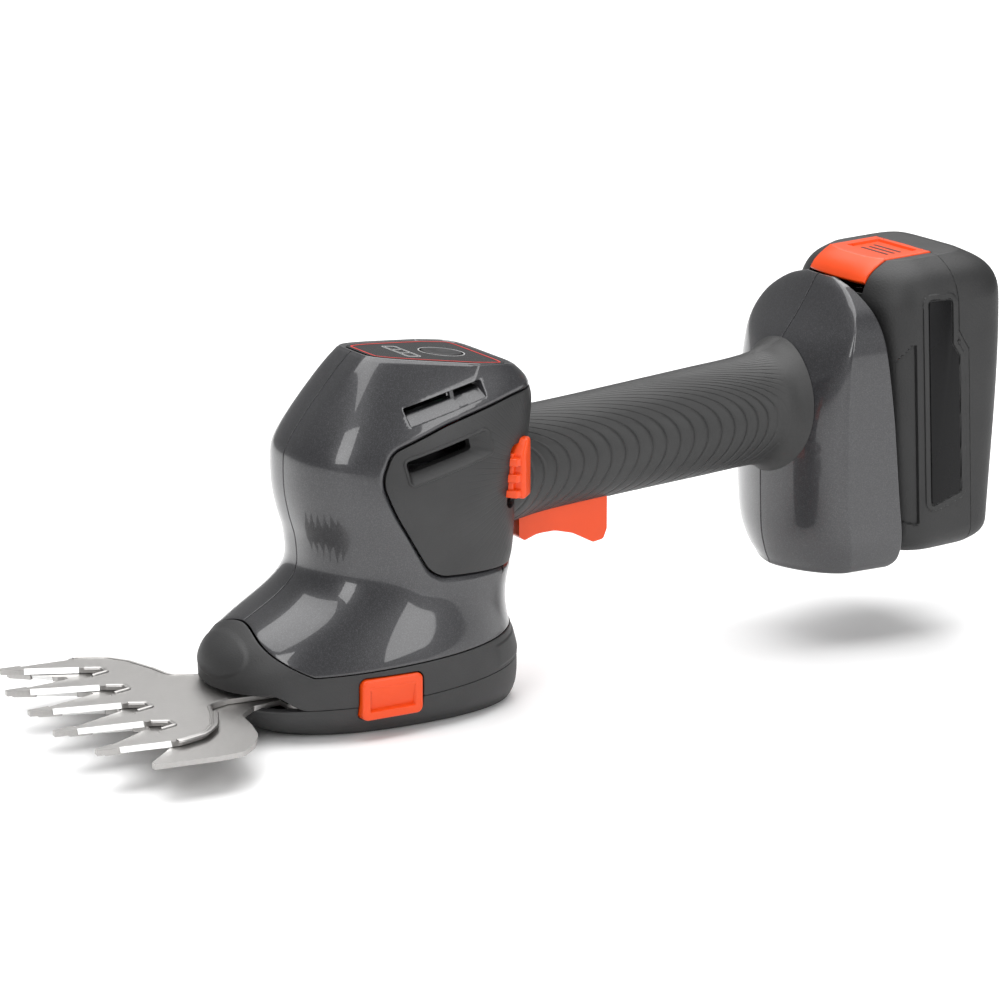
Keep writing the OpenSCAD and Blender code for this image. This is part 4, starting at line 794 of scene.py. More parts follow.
COVER_SHARES = [(0.86, 0.890), (0.64, 0.876), (0.40, 0.824), (0.215, 0.766), (0.178, 0.690), (0.215, 0.600),
                (0.345, 0.410), (0.62, 0.395), (0.86, 0.400)]
COVER_RADII = [0, 0.4, 0.4, 0.07, 0.09, 0.5, 0.10, 0.4, 0]
COVER_LINE = rounded([(a * HEAD_L, b * HEAD_H) for a, b in COVER_SHARES],
                     [r * HEAD_L for r in COVER_RADII], 14)

VENT_C, VENT_S = math.cos(math.radians(13)), math.sin(math.radians(13))
UPPER_VENT, LOWER_VENT = (0.283 * HEAD_L, 0.838 * HEAD_H), (0.272 * HEAD_L, 0.696 * HEAD_H)


def from_vent(place, a, b):
    """From a vent's own sloping axes to the side view."""
    return Vector((place[0] + a * VENT_C - b * VENT_S, place[1] + a * VENT_S + b * VENT_C))


def into_slot(place, outer, inner, depths):
    """Rows that draw a vent's rim in to its slot; outer and inner are (left, low, right, high)."""
    def row_at(depth):
        def row(p):
            dx, dz = p.x - place[0], p.z - place[1]
            a, b = dx * VENT_C + dz * VENT_S, dz * VENT_C - dx * VENT_S
            u = min(1.0, max(0.0, (a - outer[0]) / (outer[2] - outer[0])))
            w = min(1.0, max(0.0, (b - outer[1]) / (outer[3] - outer[1])))
            q = from_vent(place, inner[0] + u * (inner[2] - inner[0]), inner[1] + w * (inner[3] - inner[1]))
            return Vector((q.x, shell_y(q.x, q.y) + depth, q.y))
        return row
    return [row_at(depth) for depth in depths]


HEAD_SCREWS = [46.3, 0.935 * HEAD_H]
SCREW_HOLE, SCREW_ROWS = 2.95, edge_round(0.2, 3.0, 2)
COVER_RIM, VENT_RIM, SLOT_RIM, SCREW_RIM = 1, 2, 3, 4
# Vents in their own axes: left, low, right, high
UPPER_RIM, UPPER_SLOT, UPPER_DEPTHS = (-0.7, -1.6, 32.0, 5.2), (0.3, 1.9, 31.0, 4.7), (2.8, 6.5)
LOWER_RIM, LOWER_SLOT, LOWER_DEPTHS = (-2.4, -3.4, 34.5, 7.4), (0.2, 0.9, 26.5, 5.4), (3.4, 7.0)
# Lips round the vents: out, and up
UPPER_LIP, LOWER_LIP = [(0.15, -0.05), (0.25, -0.3)], [(0.2, 0.4), (0.6, 0.55), (1.0, 0.4), (1.25, 0.0)]
BAR_AT, BAR_HALF, BAR_LOW, BAR_HIGH, BAR_SUNK, BAR_T = (0.64 * 31.0, 2.4), 0.8, -2.6, 2.8, 2.2, 3.0


class SHEARS_OT_head(bpy.types.Operator):
    """Makes the two glossy halves of the head"""
    bl_idname = "shears.head"
    bl_label = "Head shells"

    def execute(self, context):
        seam, gap, band, top = in_mm(context, "seam_round", "seam_gap", "cover_band", "top_round")
        wall, top_wall = 2.2, 2.6
        for side in ("left", "right"):
            sheet = Sheet(*SHELL_GRID, SPAN, RISE, shell_place, AXIS)
            sheet.cut(on_shell(grown(COVER_LINE, band)), COVER_RIM)
            vent = [from_vent(UPPER_VENT, p.x, p.y) for p in oblong(*UPPER_RIM, 0.9)]
            sheet.cut(on_shell(vent, 0.8), VENT_RIM)
            if side == "right":
                for level in HEAD_SCREWS:
                    p = head_point(level, 270)
                    sheet.cut([shell_find(q.x, q.y) for q in circle(p.x, p.z, SCREW_HOLE)], SCREW_RIM)
            sheet.snap()
            sheet.lay()
            sheet.rim(COVER_RIM, edge_round(band, band + 1.5, 6))
            sheet.rim(VENT_RIM, UPPER_LIP + into_slot(UPPER_VENT, UPPER_RIM, UPPER_SLOT, UPPER_DEPTHS))
            sheet.rim(SCREW_RIM, SCREW_ROWS)
            sheet.rim(lambda s, t: t > RISE - TINY, edge_round(top, top_wall), top)
            sheet.rim(lambda s, t: t < TINY, edge_round(seam, wall), seam)
            sheet.rim(lambda s, t: s < TINY or s > SPAN - TINY, edge_round(seam, wall), seam + gap)
            at = from_vent(UPPER_VENT, *BAR_AT)
            y = shell_y(at.x, at.y) + BAR_SUNK

            def in_vent(a, b, d):
                q = from_vent(at, a, b)
                return Vector((q.x, y + d, q.y))

            bar = oblong(-BAR_HALF, BAR_LOW, BAR_HALF, BAR_HIGH, 0.2)
            bm = join(sheet.bm, plate(bar, in_vent, BAR_T, 0.2))
            if side == "right":
                bm = mirrored(bm)
            finish_mesh(bm, "head_shell_" + side + "_gloss", "tool", "gloss_shell", ["head_shell_" + side])
        return {"FINISHED"}


# Side covers and lock

LOCK_AT, LOCK_TURN = Vector((80.04, -26.49, 89.98)), math.radians(38.32)
LOCK_W, LOCK_TALL, LOCK_PROUD, LOCK_TRAVEL = 11.0, 22.0, 4.4, 3.5
LOCK_ROOT, LOCK_CROWN, LOCK_SLOT = 1.6, 0.035, (75.6, 83.2)


def lock_place(a, b, d):
    """A point on the lock's left pad: along the surface to the rear, up, and outward from its root."""
    c, s = math.cos(LOCK_TURN), math.sin(LOCK_TURN)
    out = d - LOCK_ROOT - LOCK_CROWN * a * a
    return LOCK_AT + Vector((a * c + out * s, a * s - out * c, b))


class SHEARS_OT_side_covers(bpy.types.Operator):
    """Makes the soft side covers that run round to the handle"""
    bl_idname = "shears.side_covers"
    bl_label = "Side covers"

    def execute(self, context):
        seam, = in_mm(context, "seam_round")
        gap, sunk, wall, slot_wall = 0.35, 0.3, 2.4, 3.4
        sheet = Sheet(*SHELL_GRID, SPAN, RISE, shell_place, AXIS)
        sheet.cut(on_shell(grown(COVER_LINE, -gap - seam)), COVER_RIM, keep=True)
        vent = [from_vent(LOWER_VENT, p.x, p.y) for p in oblong(*LOWER_RIM, 2.4)]
        sheet.cut(on_shell(vent, 0.8), VENT_RIM)
        low, high = LOCK_AT.z - LOCK_TALL / 2 - LOCK_TRAVEL - 1.0, LOCK_AT.z + LOCK_TALL / 2 - 1.5
        sheet.cut(on_shell(oblong(LOCK_SLOT[0], low, LOCK_SLOT[1], high, 3.2, 6), 0.8), SLOT_RIM)
        sheet.snap()
        sheet.lay()
        for v, n in [(v, sheet.normal(v)) for v in sheet.bm.verts]:
            v.co -= (n or Vector()) * sunk
        sheet.rim(COVER_RIM, edge_round(seam, wall, 3))
        sheet.rim(VENT_RIM, LOWER_LIP + into_slot(LOWER_VENT, LOWER_RIM, LOWER_SLOT, LOWER_DEPTHS))
        sheet.rim(SLOT_RIM, edge_round(0.3, slot_wall, 3))
        right = mirrored(sheet.bm)
        for side, bm in (("left", sheet.bm), ("right", right)):
            finish_mesh(bm, "side_cover_" + side + "_soft", "tool", "matte_shell", ["side_cover_" + side],
                        ["cover_soft"])
        return {"FINISHED"}


class SHEARS_OT_lock(bpy.types.Operator):
    """Makes the lock's two pads with their stepped front edges"""
    bl_idname = "shears.lock"
    bl_label = "Lock"

    def execute(self, context):
        half, top = LOCK_W / 2, LOCK_TALL / 2
        rib, notch, pitch, back_t = 2.6, 3.0, 6.0, 2.6
        face = rounded([(-half + rib, -top), (half, -top), (half, top), (0.6, top), (-half + rib, 5.6)],
                       [1.4, 1.8, 1.8, 1.6, 1.6], 5)
        bm = plate(face, lock_place, LOCK_PROUD + LOCK_ROOT, 1.3, 5, both=False)
        for low, high in ((-top + 0.8, -pitch - notch / 2), (-pitch + notch / 2, -notch / 2),
                          (notch / 2, pitch - notch / 2)):
            step = oblong(-half, low, -half + rib + 1.0, high, 0.35, 3)
            join(bm, plate(step, lock_place, LOCK_PROUD + 0.5, 0.35, 2, both=False))
        back = oblong(-half + 1.0, -top + 1.2, -half + rib + 1.0, pitch, 0.3, 2)
        join(bm, plate(back, lock_place, back_t, 0.2, 2, both=False))
        join(bm, mirrored(bm))
        finish_mesh(bm, "lock_slider_orange", "lock", "orange", ["lock_slider"])
        return {"FINISHED"}


# Base and release buttons

# The flat pattern of a band round the foot: round, and up
RING, RING_UP, RING_GRID = 400.0, 40.0, (400, 36)
# A release button's middle, its half length and half height
RELEASE = (22.14, 15.5, 12.3, 7.5)
RELEASE_FACE, RELEASE_EDGE, RELEASE_ROOM = 38.6, 2.5, 0.45
SKIRT_PROUD = 0.25
BOSS_TURN, BOSS_LEVEL, BOSS_HALF, BOSS_PROUD, BOSS_EASE = 27.0, 29.5, 7.5, 0.5, 0.08
PAD_TURN, PAD_LOW, PAD_HIGH, PAD_PROUD, PAD_EASE = 52.0, 1.2, 2.4, 0.3, 0.9


def ring_place(low, high, out):
    """A band round the foot, from one level to another, standing out by a length."""
    def place(s, t):
        angle = 360 * s / RING
        a, b = low(angle), high(angle)
        level = a + (b - a) * t / RING_UP
        p, q = head_point(level, angle), head_point(level, angle + 0.5)
        across = Vector((q.y - p.y, p.x - q.x, 0)).normalized()
        return p + across * out(level, angle)
    return place


def ring_find(low, high, x, z, side):
    """From a place seen from the side to the band's flat pattern."""
    angle = bisected(180.0, 360.0, lambda a: head_point(z, a).x < x)
    a, b = low(angle), high(angle)
    return Vector(((angle if side < 0 else 360 - angle) / 360 * RING, (z - a) / (b - a) * RING_UP))


def skirt_relief(level, angle):
    """The skirt stands out a little, with an oval boss on the nose and a pad by the heel."""
    share = math.hypot(from_nose(angle) / BOSS_TURN, (level - BOSS_LEVEL) / BOSS_HALF)
    boss = BOSS_PROUD * eased((1 - share) / BOSS_EASE)
    heel = 180 - from_nose(angle)
    low, high = low_seam_level(angle) + PAD_LOW, seam_level(angle) - PAD_HIGH
    inset = min((PAD_TURN - heel) / 2.2, (level - low) / PAD_EASE, (high - level) / PAD_EASE)
    return SKIRT_PROUD + boss + PAD_PROUD * eased(inset)


class SHEARS_OT_base(bpy.types.Operator):
    """Makes the skirt round the foot and the sole cover"""
    bl_idname = "shears.base"
    bl_label = "Base"

    def execute(self, context):
        seam, = in_mm(context, "seam_round")
        x, z, half_l, half_h = RELEASE
        grow = RELEASE_ROOM + seam
        slot_rows, wall_rows = edge_round(seam, 3.5, 3), edge_round(seam, 2.4, 3)

        def band(low, high, out, inner):
            sheet = Sheet(*RING_GRID, RING, RING_UP, ring_place(low, high, out), inner)
            for side in (-1, 1):
                line = oblong(x - half_l - grow, z - half_h - grow, x + half_l + grow, z + half_h + grow,
                              RELEASE_EDGE + grow, 6)
                sheet.cut(patterned(lambda a, b: ring_find(low, high, a, b, side), line, 0.9, 0.4), SLOT_RIM)
            sheet.snap(0.3)
            sheet.lay()
            bmesh.ops.remove_doubles(sheet.bm, verts=[v for v in sheet.bm.verts if v.is_boundary], dist=0.01)
            return sheet

        skirt = band(skirt_low_level, lambda a: seam_level(a) - SKIRT_GAP, skirt_relief, (30, 0, 20))
        skirt.rim(SLOT_RIM, slot_rows)
        skirt.rim(lambda s, t: t < TINY or t > RING_UP - TINY, wall_rows, seam)
        finish_mesh(skirt.bm, "base_skirt_matte", "tool", "matte_shell", ["base_skirt"])

        sole = band(lambda a: 0.0, sole_top_level, lambda level, angle: 0.0, (30, 0, 8))
        low = [e for e in open_edges(sole.bm) if max(v.co.z for v in e.verts) < 0.01]
        bmesh.ops.contextual_create(sole.bm, geom=low)
        sole.rim(SLOT_RIM, slot_rows)
        sole.rim(lambda s, t: t > RING_UP - TINY, wall_rows, seam)
        finish_mesh(sole.bm, "sole_cover_matte", "tool", "matte_shell", ["sole_cover"])
        return {"FINISHED"}


class SHEARS_OT_release(bpy.types.Operator):
    """Makes the two blade release buttons with their finger scoops"""
    bl_idname = "shears.release"
    bl_label = "Release buttons"

    def execute(self, context):
        x, z, half_l, half_h = RELEASE
        thick, edge, land, wall, scoop = 7.0, 0.9, 2.9, 0.7, 1.6
        rows = [(0.0, thick, 0.0), (0.0, edge, 0.0)]
        rows += [(edge * (1 - math.cos(a)), edge * (1 - math.sin(a)), 0.0) for a in
                 [math.pi / 2 * k / 4 for k in range(1, 5)]]
        rows += [(land, 0.0, 0.0), (land + 0.15, 0.1, 0.0), (land + wall, 0.0, scoop)]
        for side, sign in (("left", -1), ("right", 1)):
            loops = []
            for inset, back, fall in rows:
                low, high = z - half_h + inset, z + half_h - inset
                line = oblong(x - half_l + inset, low, x + half_l - inset, high,
                              max(RELEASE_EDGE - inset, 0.6), 6)
                falls = [fall * (high - p.y) / (high - low) for p in line]
                loops.append([Vector((p.x, sign * (RELEASE_FACE - back - f), p.y))
                              for p, f in zip(line, falls)])
            finish_mesh(loft(loops), "release_button_" + side + "_orange", "release_" + side, "orange",
                        ["release_button_" + side], sharp=25)
        return {"FINISHED"}


# Top panel


def panel_point(x, y, up):
    """A point over the sloping top panel."""
    a = math.atan(TOP_SLOPE)
    z = HEAD_H - TOP_SLOPE * (x - TOP_FRONT) - 0.4
    return Vector((x + up * math.sin(a), y, z + up * math.cos(a)))


def panel_ring(inset, count=120):
    """The panel's edge, set in from the head's top rim."""
    out = []
    for j in range(count):
        p, q = head_point(HEAD_H, 360 * j / count), head_point(HEAD_H, 360 * j / count + 0.5)
        across = Vector((q.y - p.y, p.x - q.x)).normalized()
        out.append(p.xy - across * inset)
    return out


class SHEARS_OT_panel(bpy.types.Operator):
    """Makes the top panel with its red line, indicator windows and button"""
    bl_idname = "shears.panel"
    bl_label = "Top panel"

    def execute(self, context):
        led_x, power_x, led_pitch = 0.385 * HEAD_L, 0.52 * HEAD_L, 6.4
        led_half_x, led_half_y, frame_x, frame_y, frame_line = 1.8, 2.6, 3.0, 10.2, 0.3
        panel_in, line_in, line_w, panel_t = 2.65, 4.0, 0.7, 3.0
        key_r, key_room, key_t, key_sunk, key_step = 7.5, 0.4, 3.85, 3.6, 2.0
        print_t, print_sunk, lens_t, lens_sunk = 0.11, 0.05, 1.45, 1.5
        leds = [i * led_pitch for i in (-1, 0, 1)]

        def window(y, grow):
            a, b = led_half_x + grow, led_half_y + grow
            return oblong(led_x - a, y - b, led_x + a, y + b, 0.8, 3)

        def on_panel(sunk):
            return lambda a, b, d: panel_point(a, b, d - sunk)

        def printed(line, hole):
            return plate(line, on_panel(print_sunk), print_t, 0.0, holes=[hole])

        def frame_ring(inset, radius):
            a, b = frame_x - inset, frame_y - inset
            return oblong(led_x - a, -b, led_x + a, b, radius)

        bm = plate(panel_ring(panel_in), on_panel(panel_t), panel_t, 0.0,
                   holes=[circle(power_x, 0, key_r + key_room)] + [window(y, 0.05) for y in leds])
        finish_mesh(bm, "control_panel_gloss", "tool", "panel_black", ["control_panel"])
        bm = printed(panel_ring(line_in), panel_ring(line_in + line_w))
        finish_mesh(bm, "control_panel_line", "tool", "panel_black", looks=["red_line"])
        bm = printed(frame_ring(0.0, 1.2), frame_ring(frame_line, 1.0))
        for y in leds:
            join(bm, printed(window(y, 0.28), window(y, 0.06)))
        join(bm, printed(circle(power_x, 0, key_r + 1.1), circle(power_x, 0, key_r + 0.75)))
        finish_mesh(bm, "control_panel_marks", "tool", "panel_black", looks=["print_white"])
        bm = bmesh.new()
        for y in leds:
            join(bm, plate(window(y, 0.0), on_panel(lens_sunk), lens_t, 0.15))
        finish_mesh(bm, "led_windows_lens", "tool", "led_lens", ["led_windows"])
        bm = plate(circle(power_x, 0, key_r, 48), on_panel(key_sunk), key_t, 0.6, both=False)
        top = facing(bm, panel_point(0, 0, 1) - panel_point(0, 0, 0))
        for fall in (0.0, -0.5):
            bmesh.ops.inset_region(bm, faces=[top], thickness=key_step, depth=fall, use_even_offset=True)
        finish_mesh(bm, "power_button_satin", "power_key", "button_black", ["power_button"])
        return {"FINISHED"}


# Rear housing, whose front surface the handle's collar meets

REAR_X, REAR_L, REAR_W, REAR_H, REAR_BASE = 203.59, 42.4, 72.4, 113.5, 28.0
REAR_SHARES = [
    # height, front, corner, rear, half width
    (0.000, 0.505, 0.540, 0.599, 0.083), (0.004, 0.180, 0.528, 0.858, 0.608),
    (0.026, 0.122, 0.528, 0.976, 0.801), (0.070, 0.072, 0.481, 1.000, 0.925),
    (0.141, 0.030, 0.434, 0.988, 0.989), (0.247, 0.016, 0.399, 0.953, 1.000),
    (0.335, 0.010, 0.387, 0.929, 1.000), (0.564, 0.012, 0.387, 0.870, 0.994),
    (0.784, 0.185, 0.410, 0.788, 0.975), (0.846, 0.315, 0.455, 0.759, 0.939),
    (0.899, 0.420, 0.515, 0.729, 0.856), (0.943, 0.490, 0.565, 0.693, 0.732),
    (0.978, 0.545, 0.605, 0.658, 0.511), (1.000, 0.595, 0.623, 0.642, 0.249)]
REAR_FOOT, REAR_DOME = (columns(REAR_SHARES, (REAR_L, REAR_L, REAR_L, REAR_W / 2), s) for s in (2.0, 9.0))
REAR_SQUARE = 1.6
# The flat pattern of a half: round the front, along the side, up, and the closing ends
REAR_ROUND, REAR_SIDE, REAR_UP, REAR_CLOSE, REAR_GRID = 60.0, 20.0, 120.0, 4.0, (100, 160)
REAR_MIDDLE, REAR_SCREW_X, REAR_SCREWS = (225, 0, 85), 0.62, (0.20, 0.80)


def rear_sizes(u):
    """Front, corner, rear and half width of the housing at a share of its height."""
    share = eased((u - 0.15) / 0.2) * (1 - eased((u - 0.93) / 0.07))
    return [a(u) + (b(u) - a(u)) * share for a, b in zip(REAR_FOOT, REAR_DOME)]


def rear_place(s, t):
    """From the flat pattern to the left of the rear housing: round the front, then along the side."""
    v = min(1.0, max(0.0, (t - REAR_CLOSE) / REAR_UP))
    u = (1 - math.cos(math.pi * v)) / 2
    draw = min(1.0, t / REAR_CLOSE, (REAR_UP + 2 * REAR_CLOSE - t) / REAR_CLOSE)
    front, corner, rear, half = rear_sizes(u)
    z = REAR_BASE + REAR_H * u
    if s <= REAR_ROUND:
        a = math.radians(90 * s / REAR_ROUND)
        k = squared(math.cos(a), math.sin(a), REAR_SQUARE)
        x, y = -(corner - front) * math.cos(a) * k, -half * math.sin(a) * k
    else:
        x, y = (rear - corner) * (s - REAR_ROUND) / REAR_SIDE, -half
    return Vector((REAR_X + corner + x * draw, y * draw, z))


def rear_find(x, z):
    """From a place on the housing's side, its height over the base, to the flat pattern."""
    t = REAR_CLOSE + REAR_UP * math.acos(1 - 2 * z / REAR_H) / math.pi
    return Vector((bisected(0.0, REAR_ROUND + REAR_SIDE, lambda s: rear_place(s, t).x < x), t))


def rear_front(y, z):
    """Where the front of the rear housing lies."""
    front, corner, _, half = rear_sizes((z - REAR_BASE) / REAR_H)
    n = REAR_SQUARE
    return REAR_X + corner - (corner - front) * max(0.0, 1 - (abs(y) / half) ** n) ** (1 / n)


class SHEARS_OT_rear_housing(bpy.types.Operator):
    """Makes the glossy rear housing behind the handle"""
    bl_idname = "shears.rear_housing"
    bl_label = "Rear housing"

    def execute(self, context):
        seam, gap = in_mm(context, "seam_round", "seam_gap")
        wall, rear_wall, rear_round = 2.4, 3.0, 0.5
        width, height = REAR_ROUND + REAR_SIDE, REAR_UP + 2 * REAR_CLOSE
        screws = [circle(REAR_X + REAR_SCREW_X * REAR_L, REAR_H * u, SCREW_HOLE) for u in REAR_SCREWS]
        for side in ("left", "right"):
            sheet = Sheet(*REAR_GRID, width, height, rear_place, REAR_MIDDLE)
            if side == "right":
                for screw in screws:
                    sheet.cut([rear_find(p.x, p.y) for p in screw], SCREW_RIM)
            sheet.snap(0.3)
            sheet.lay()
            bmesh.ops.remove_doubles(sheet.bm, verts=sheet.bm.verts, dist=0.005)
            sheet.rim(SCREW_RIM, SCREW_ROWS)
            sheet.rim(lambda s, t: s > width - TINY, edge_round(rear_round, rear_wall), rear_round)
            sheet.rim(lambda s, t: s < TINY, edge_round(seam, wall), seam + gap)
            bm = sheet.bm if side == "left" else mirrored(sheet.bm)
            finish_mesh(bm, "rear_shell_" + side + "_gloss", "tool", "gloss_shell", ["rear_shell_" + side])
        return {"FINISHED"}


# Handle

GRIP_X0, GRIP_X1, GRIP_H, GRIP_W = 88.99, 208.99, 38.0, 34.4
GRIP_SHARES = [(0.00, 1.110, 1.270), (0.08, 1.075, 1.110), (0.20, 1.068, 1.050), (0.44, 1.080, 1.045),
               (0.70, 1.096, 1.085), (0.87, 1.100, 1.150), (0.96, 1.140, 1.230), (1.00, 1.174, 1.296)]
GRIP = columns(GRIP_SHARES, (GRIP_H / 2, GRIP_W / 2), 4.0)
GRIP_Z, GRIP_SLOPE, GRIP_CUT, GRIP_INTO = 84.0, 0.0745, 70.0, 1.0
GRIP_STEPS, GRIP_MIDDLE, GRIP_SCREWS = 90, (150, 0, 89), (0.48, 0.84)
COLLAR_X, COLLAR_R, COLLAR_FLARE, COLLAR_RUN, COLLAR_GAP = 206.0, 25.2, 3.2, 9.0, 0.1
# Grooves: how far they sweep forward at the top and below, and their pitch, closer near the collar
SWEEP_TOP, SWEEP_LOW, GROOVE_FROM, GROOVE_PAST = 74.0, 26.0, 66.0, 78.0
PITCH_WIDE, PITCH_LOSS, PITCH_END = 6.0, 2.4, 5.0
CLOSE_FROM, CLOSE_RUN, CLOSE_END, FADE_GAP, FADE_RUN = 165.0, 40.0, 212.0, 8.0, 10.0


def grip_axis(x):
    return GRIP_Z + GRIP_SLOPE * (x - GRIP_X0)


def grip_sizes(x):
    u = (x - GRIP_X0) / (GRIP_X1 - GRIP_X0)
    return GRIP[0](u), GRIP[1](u)


def collar_end(angle):
    """Where the collar meets the rear housing, at an angle from the top."""
    a = math.radians(angle)
    return rear_front(COLLAR_R * math.sin(a), grip_axis(COLLAR_X) + COLLAR_R * math.cos(a)) - COLLAR_GAP


def grip_point(x, angle, end):
    """A point of the grip; the angle in degrees runs from the top down the left side."""
    h, w = grip_sizes(x)
    flare = COLLAR_FLARE * max(0.0, 1 - (end - x) / COLLAR_RUN) ** 2.2
    a = math.radians(angle)
    return Vector((x, -(w + flare) * math.sin(a), grip_axis(x) + (h + flare) * math.cos(a)))


def groove_shift(angle):
    """How far the grip's grooves sweep forward at an angle from the top."""
    if angle < 90:
        return SWEEP_TOP * ((90 - angle) / 90) ** 2.3
    return SWEEP_LOW * ((angle - 90) / 90) ** 1.9


def groove_rows(wide):
    """The lines across the grip: where each lies at the side, and the share of the groove's depth there."""
    rows, at = [], GROOVE_FROM
    while at < GRIP_X1 + GROOVE_PAST:
        pitch = PITCH_END
        if at < CLOSE_END:
            pitch = PITCH_WIDE - PITCH_LOSS * eased((at - CLOSE_FROM) / CLOSE_RUN)
        rows += [(at - wide / 2, 0.0), (at, 1.0), (at + wide / 2, 0.0)]
        rows += [(at + wide / 2 + (pitch - wide) * k, 0.0) for k in (0.25, 0.5, 0.75)]
        at += pitch
    return rows


class SHEARS_OT_handle(bpy.types.Operator):
    """Makes the soft handle with its flowing grooves"""
    bl_idname = "shears.handle"
    bl_label = "Handle"

    def execute(self, context):
        depth, wide = in_mm(context, "groove_depth", "groove_width")
        rows = groove_rows(wide)
        sweeps = [row[0] for row in rows]
        ends = [collar_end(angle) for angle in range(-1, 183)]

        def place(s, t):
            i = min(len(rows) - 2, max(0, int(s)))
            part = min(1.0, max(0.0, s - i))
            k = min(len(ends) - 2, max(0, int(t + 1)))
            end = ends[k] + (ends[k + 1] - ends[k]) * (t + 1 - k)
            sweep = rows[i][0] + (rows[i + 1][0] - rows[i][0]) * part
            fall = rows[i][1] + (rows[i + 1][1] - rows[i][1]) * part
            x = min(sweep - groove_shift(t), end)
            p = grip_point(x, t, end)
            fade = min(1.0, max(0.0, (end - FADE_GAP - x) / FADE_RUN))
            return p + (Vector((x, 0, grip_axis(x))) - p).normalized() * depth * fall * fade

        def find(x, angle):
            sweep = x + groove_shift(angle)
            i = min(len(rows) - 2, max(0, bisect_left(sweeps, sweep) - 1))
            return Vector((i + (sweep - sweeps[i]) / (sweeps[i + 1] - sweeps[i]), angle))

        # The trigger's slot runs past the grip's lowest line
        slot_x0, slot_x1, slot_half, past, along, down = 91.9, 132.9, 7.95, 183.0, 34, 6

        def slot_angle(x):
            return 180 - math.degrees(math.asin(slot_half / grip_sizes(x)[1]))

        xs = [slot_x0 + (slot_x1 - slot_x0) * k / along for k in range(along + 1)]
        slot = [find(x, slot_angle(x)) for x in xs]
        low0, low1 = slot_angle(slot_x0), slot_angle(slot_x1)
        slot += [find(slot_x1, low1 + (past - low1) * k / down) for k in range(1, down + 1)]
        slot += [find(slot_x0, past + (low0 - past) * k / down) for k in range(down)]
        for side in ("left", "right"):
            sheet = Sheet(len(rows) - 1, GRIP_STEPS, len(rows) - 1, 180, place, GRIP_MIDDLE)
            sheet.cut(slot, SLOT_RIM)
            if side == "right":
                for share in GRIP_SCREWS:
                    at = GRIP_X0 + share * (REAR_X - GRIP_X0)
                    h, _ = grip_sizes(at)
                    sheet.cut([find(at + p.x, 90 - math.degrees(math.asin(p.y / h)))
                               for p in circle(0, 0, SCREW_HOLE)], SCREW_RIM)
            sheet.lay()
            bm = sheet.bm
            bmesh.ops.remove_doubles(bm, verts=bm.verts, dist=0.004)
            bmesh.ops.bisect_plane(bm, geom=around(bm.faces), dist=1e-4, plane_co=(GRIP_CUT, 0, 0),
                                   plane_no=(-1, 0, 0), clear_outer=True)
            gone = [f for f in bm.faces
                    if all(v.co.x < head_rear(v.co.y, v.co.z) - GRIP_INTO for v in f.verts)]
            bmesh.ops.delete(bm, geom=gone, context="FACES")
            sheet.rim(SCREW_RIM, SCREW_ROWS)
            sheet.rim(SLOT_RIM, edge_round(0.4, 3.0, 3))
            if side == "right":
                bm = mirrored(bm)
            finish_mesh(bm, "handle_" + side + "_soft", "tool", "soft_grip", ["handle_" + side], sharp=60)
        return {"FINISHED"}


# Battery

BAT_X, BAT_BASE, BAT_D, BAT_W, BAT_H = 263.49, 36.0, 50.0, 74.0, 112.6
BAT_TILT = math.radians(2.8)
BAT_SHARES = [(0.000, 0.740, 0.840, 0.830), (0.025, 0.900, 0.945, 0.990), (0.070, 1.000, 1.000, 1.070),
              (0.850, 1.000, 1.000, 1.396), (0.915, 0.930, 0.950, 1.370), (0.966, 0.790, 0.830, 1.220),
              (1.000, 0.560, 0.640, 0.960)]
BAT = columns(BAT_SHARES, (BAT_D / 2, BAT_W / 2, BAT_D / 2), 3.0)
# The flat pattern of a half: round, up, and the closing ends
BAT_ROUND, BAT_UP, BAT_CLOSE, BAT_GRID, BAT_MIDDLE = 180.0, 118.0, 6.0, (220, 150), (0, 0, 55)
CASE_ROUND, CASE_WALL = 0.3, 3.2
LATCH_LOW, LATCH_HALF, LATCH_REAR, LATCH_TRAVEL = BAT_H - 7.6, 18.0, 10.5, 3.0
LATCH_LEAN, LATCH_ROOM = 2.0, 0.4
# Slots for the rails and the terminals: from and to either side of the middle, and their tops
RAIL_SLOTS, RAIL_FRONT = [(17.6, 20.9, 75.6), (6.0, 8.0, 62.4)], -12.0
LABEL = rounded([(-4.4, 18.7), (9.0, 22.5), (9.0, 75.5), (6.0, 80.5), (6.0, 98.0), (-4.4, 98.6)],
                [1.2, 1.2, 1.0, 1.0, 1.2, 1.2], 4)
POCKET = rounded([(-17.5, 13.0), (-8.6, 10.0), (-8.6, 86.0), (-17.5, 76.0)], [2.0, 2.0, 1.5, 2.0], 4)
# Reliefs of the sides: the outline, the width of its sloping wall, and its depth
RELIEFS = [(POCKET, 1.1, 1.3), (grown(LABEL, 3.3), 0.9, -0.55), (grown(LABEL, 0.9), 0.5, 0.55)]
PARTING = [(14.0, -1.0), (14.0, 0.69 * BAT_H), (9.5, 0.76 * BAT_H), (9.5, BAT_H + 1)]


def in_battery(p):
    """From the battery's own frame, its top leaning forward, to the tool's."""
    c, s = math.cos(BAT_TILT), math.sin(BAT_TILT)
    return Vector((BAT_X + p[0] * c - p[2] * s, p[1], BAT_BASE + p[0] * s + p[2] * c))


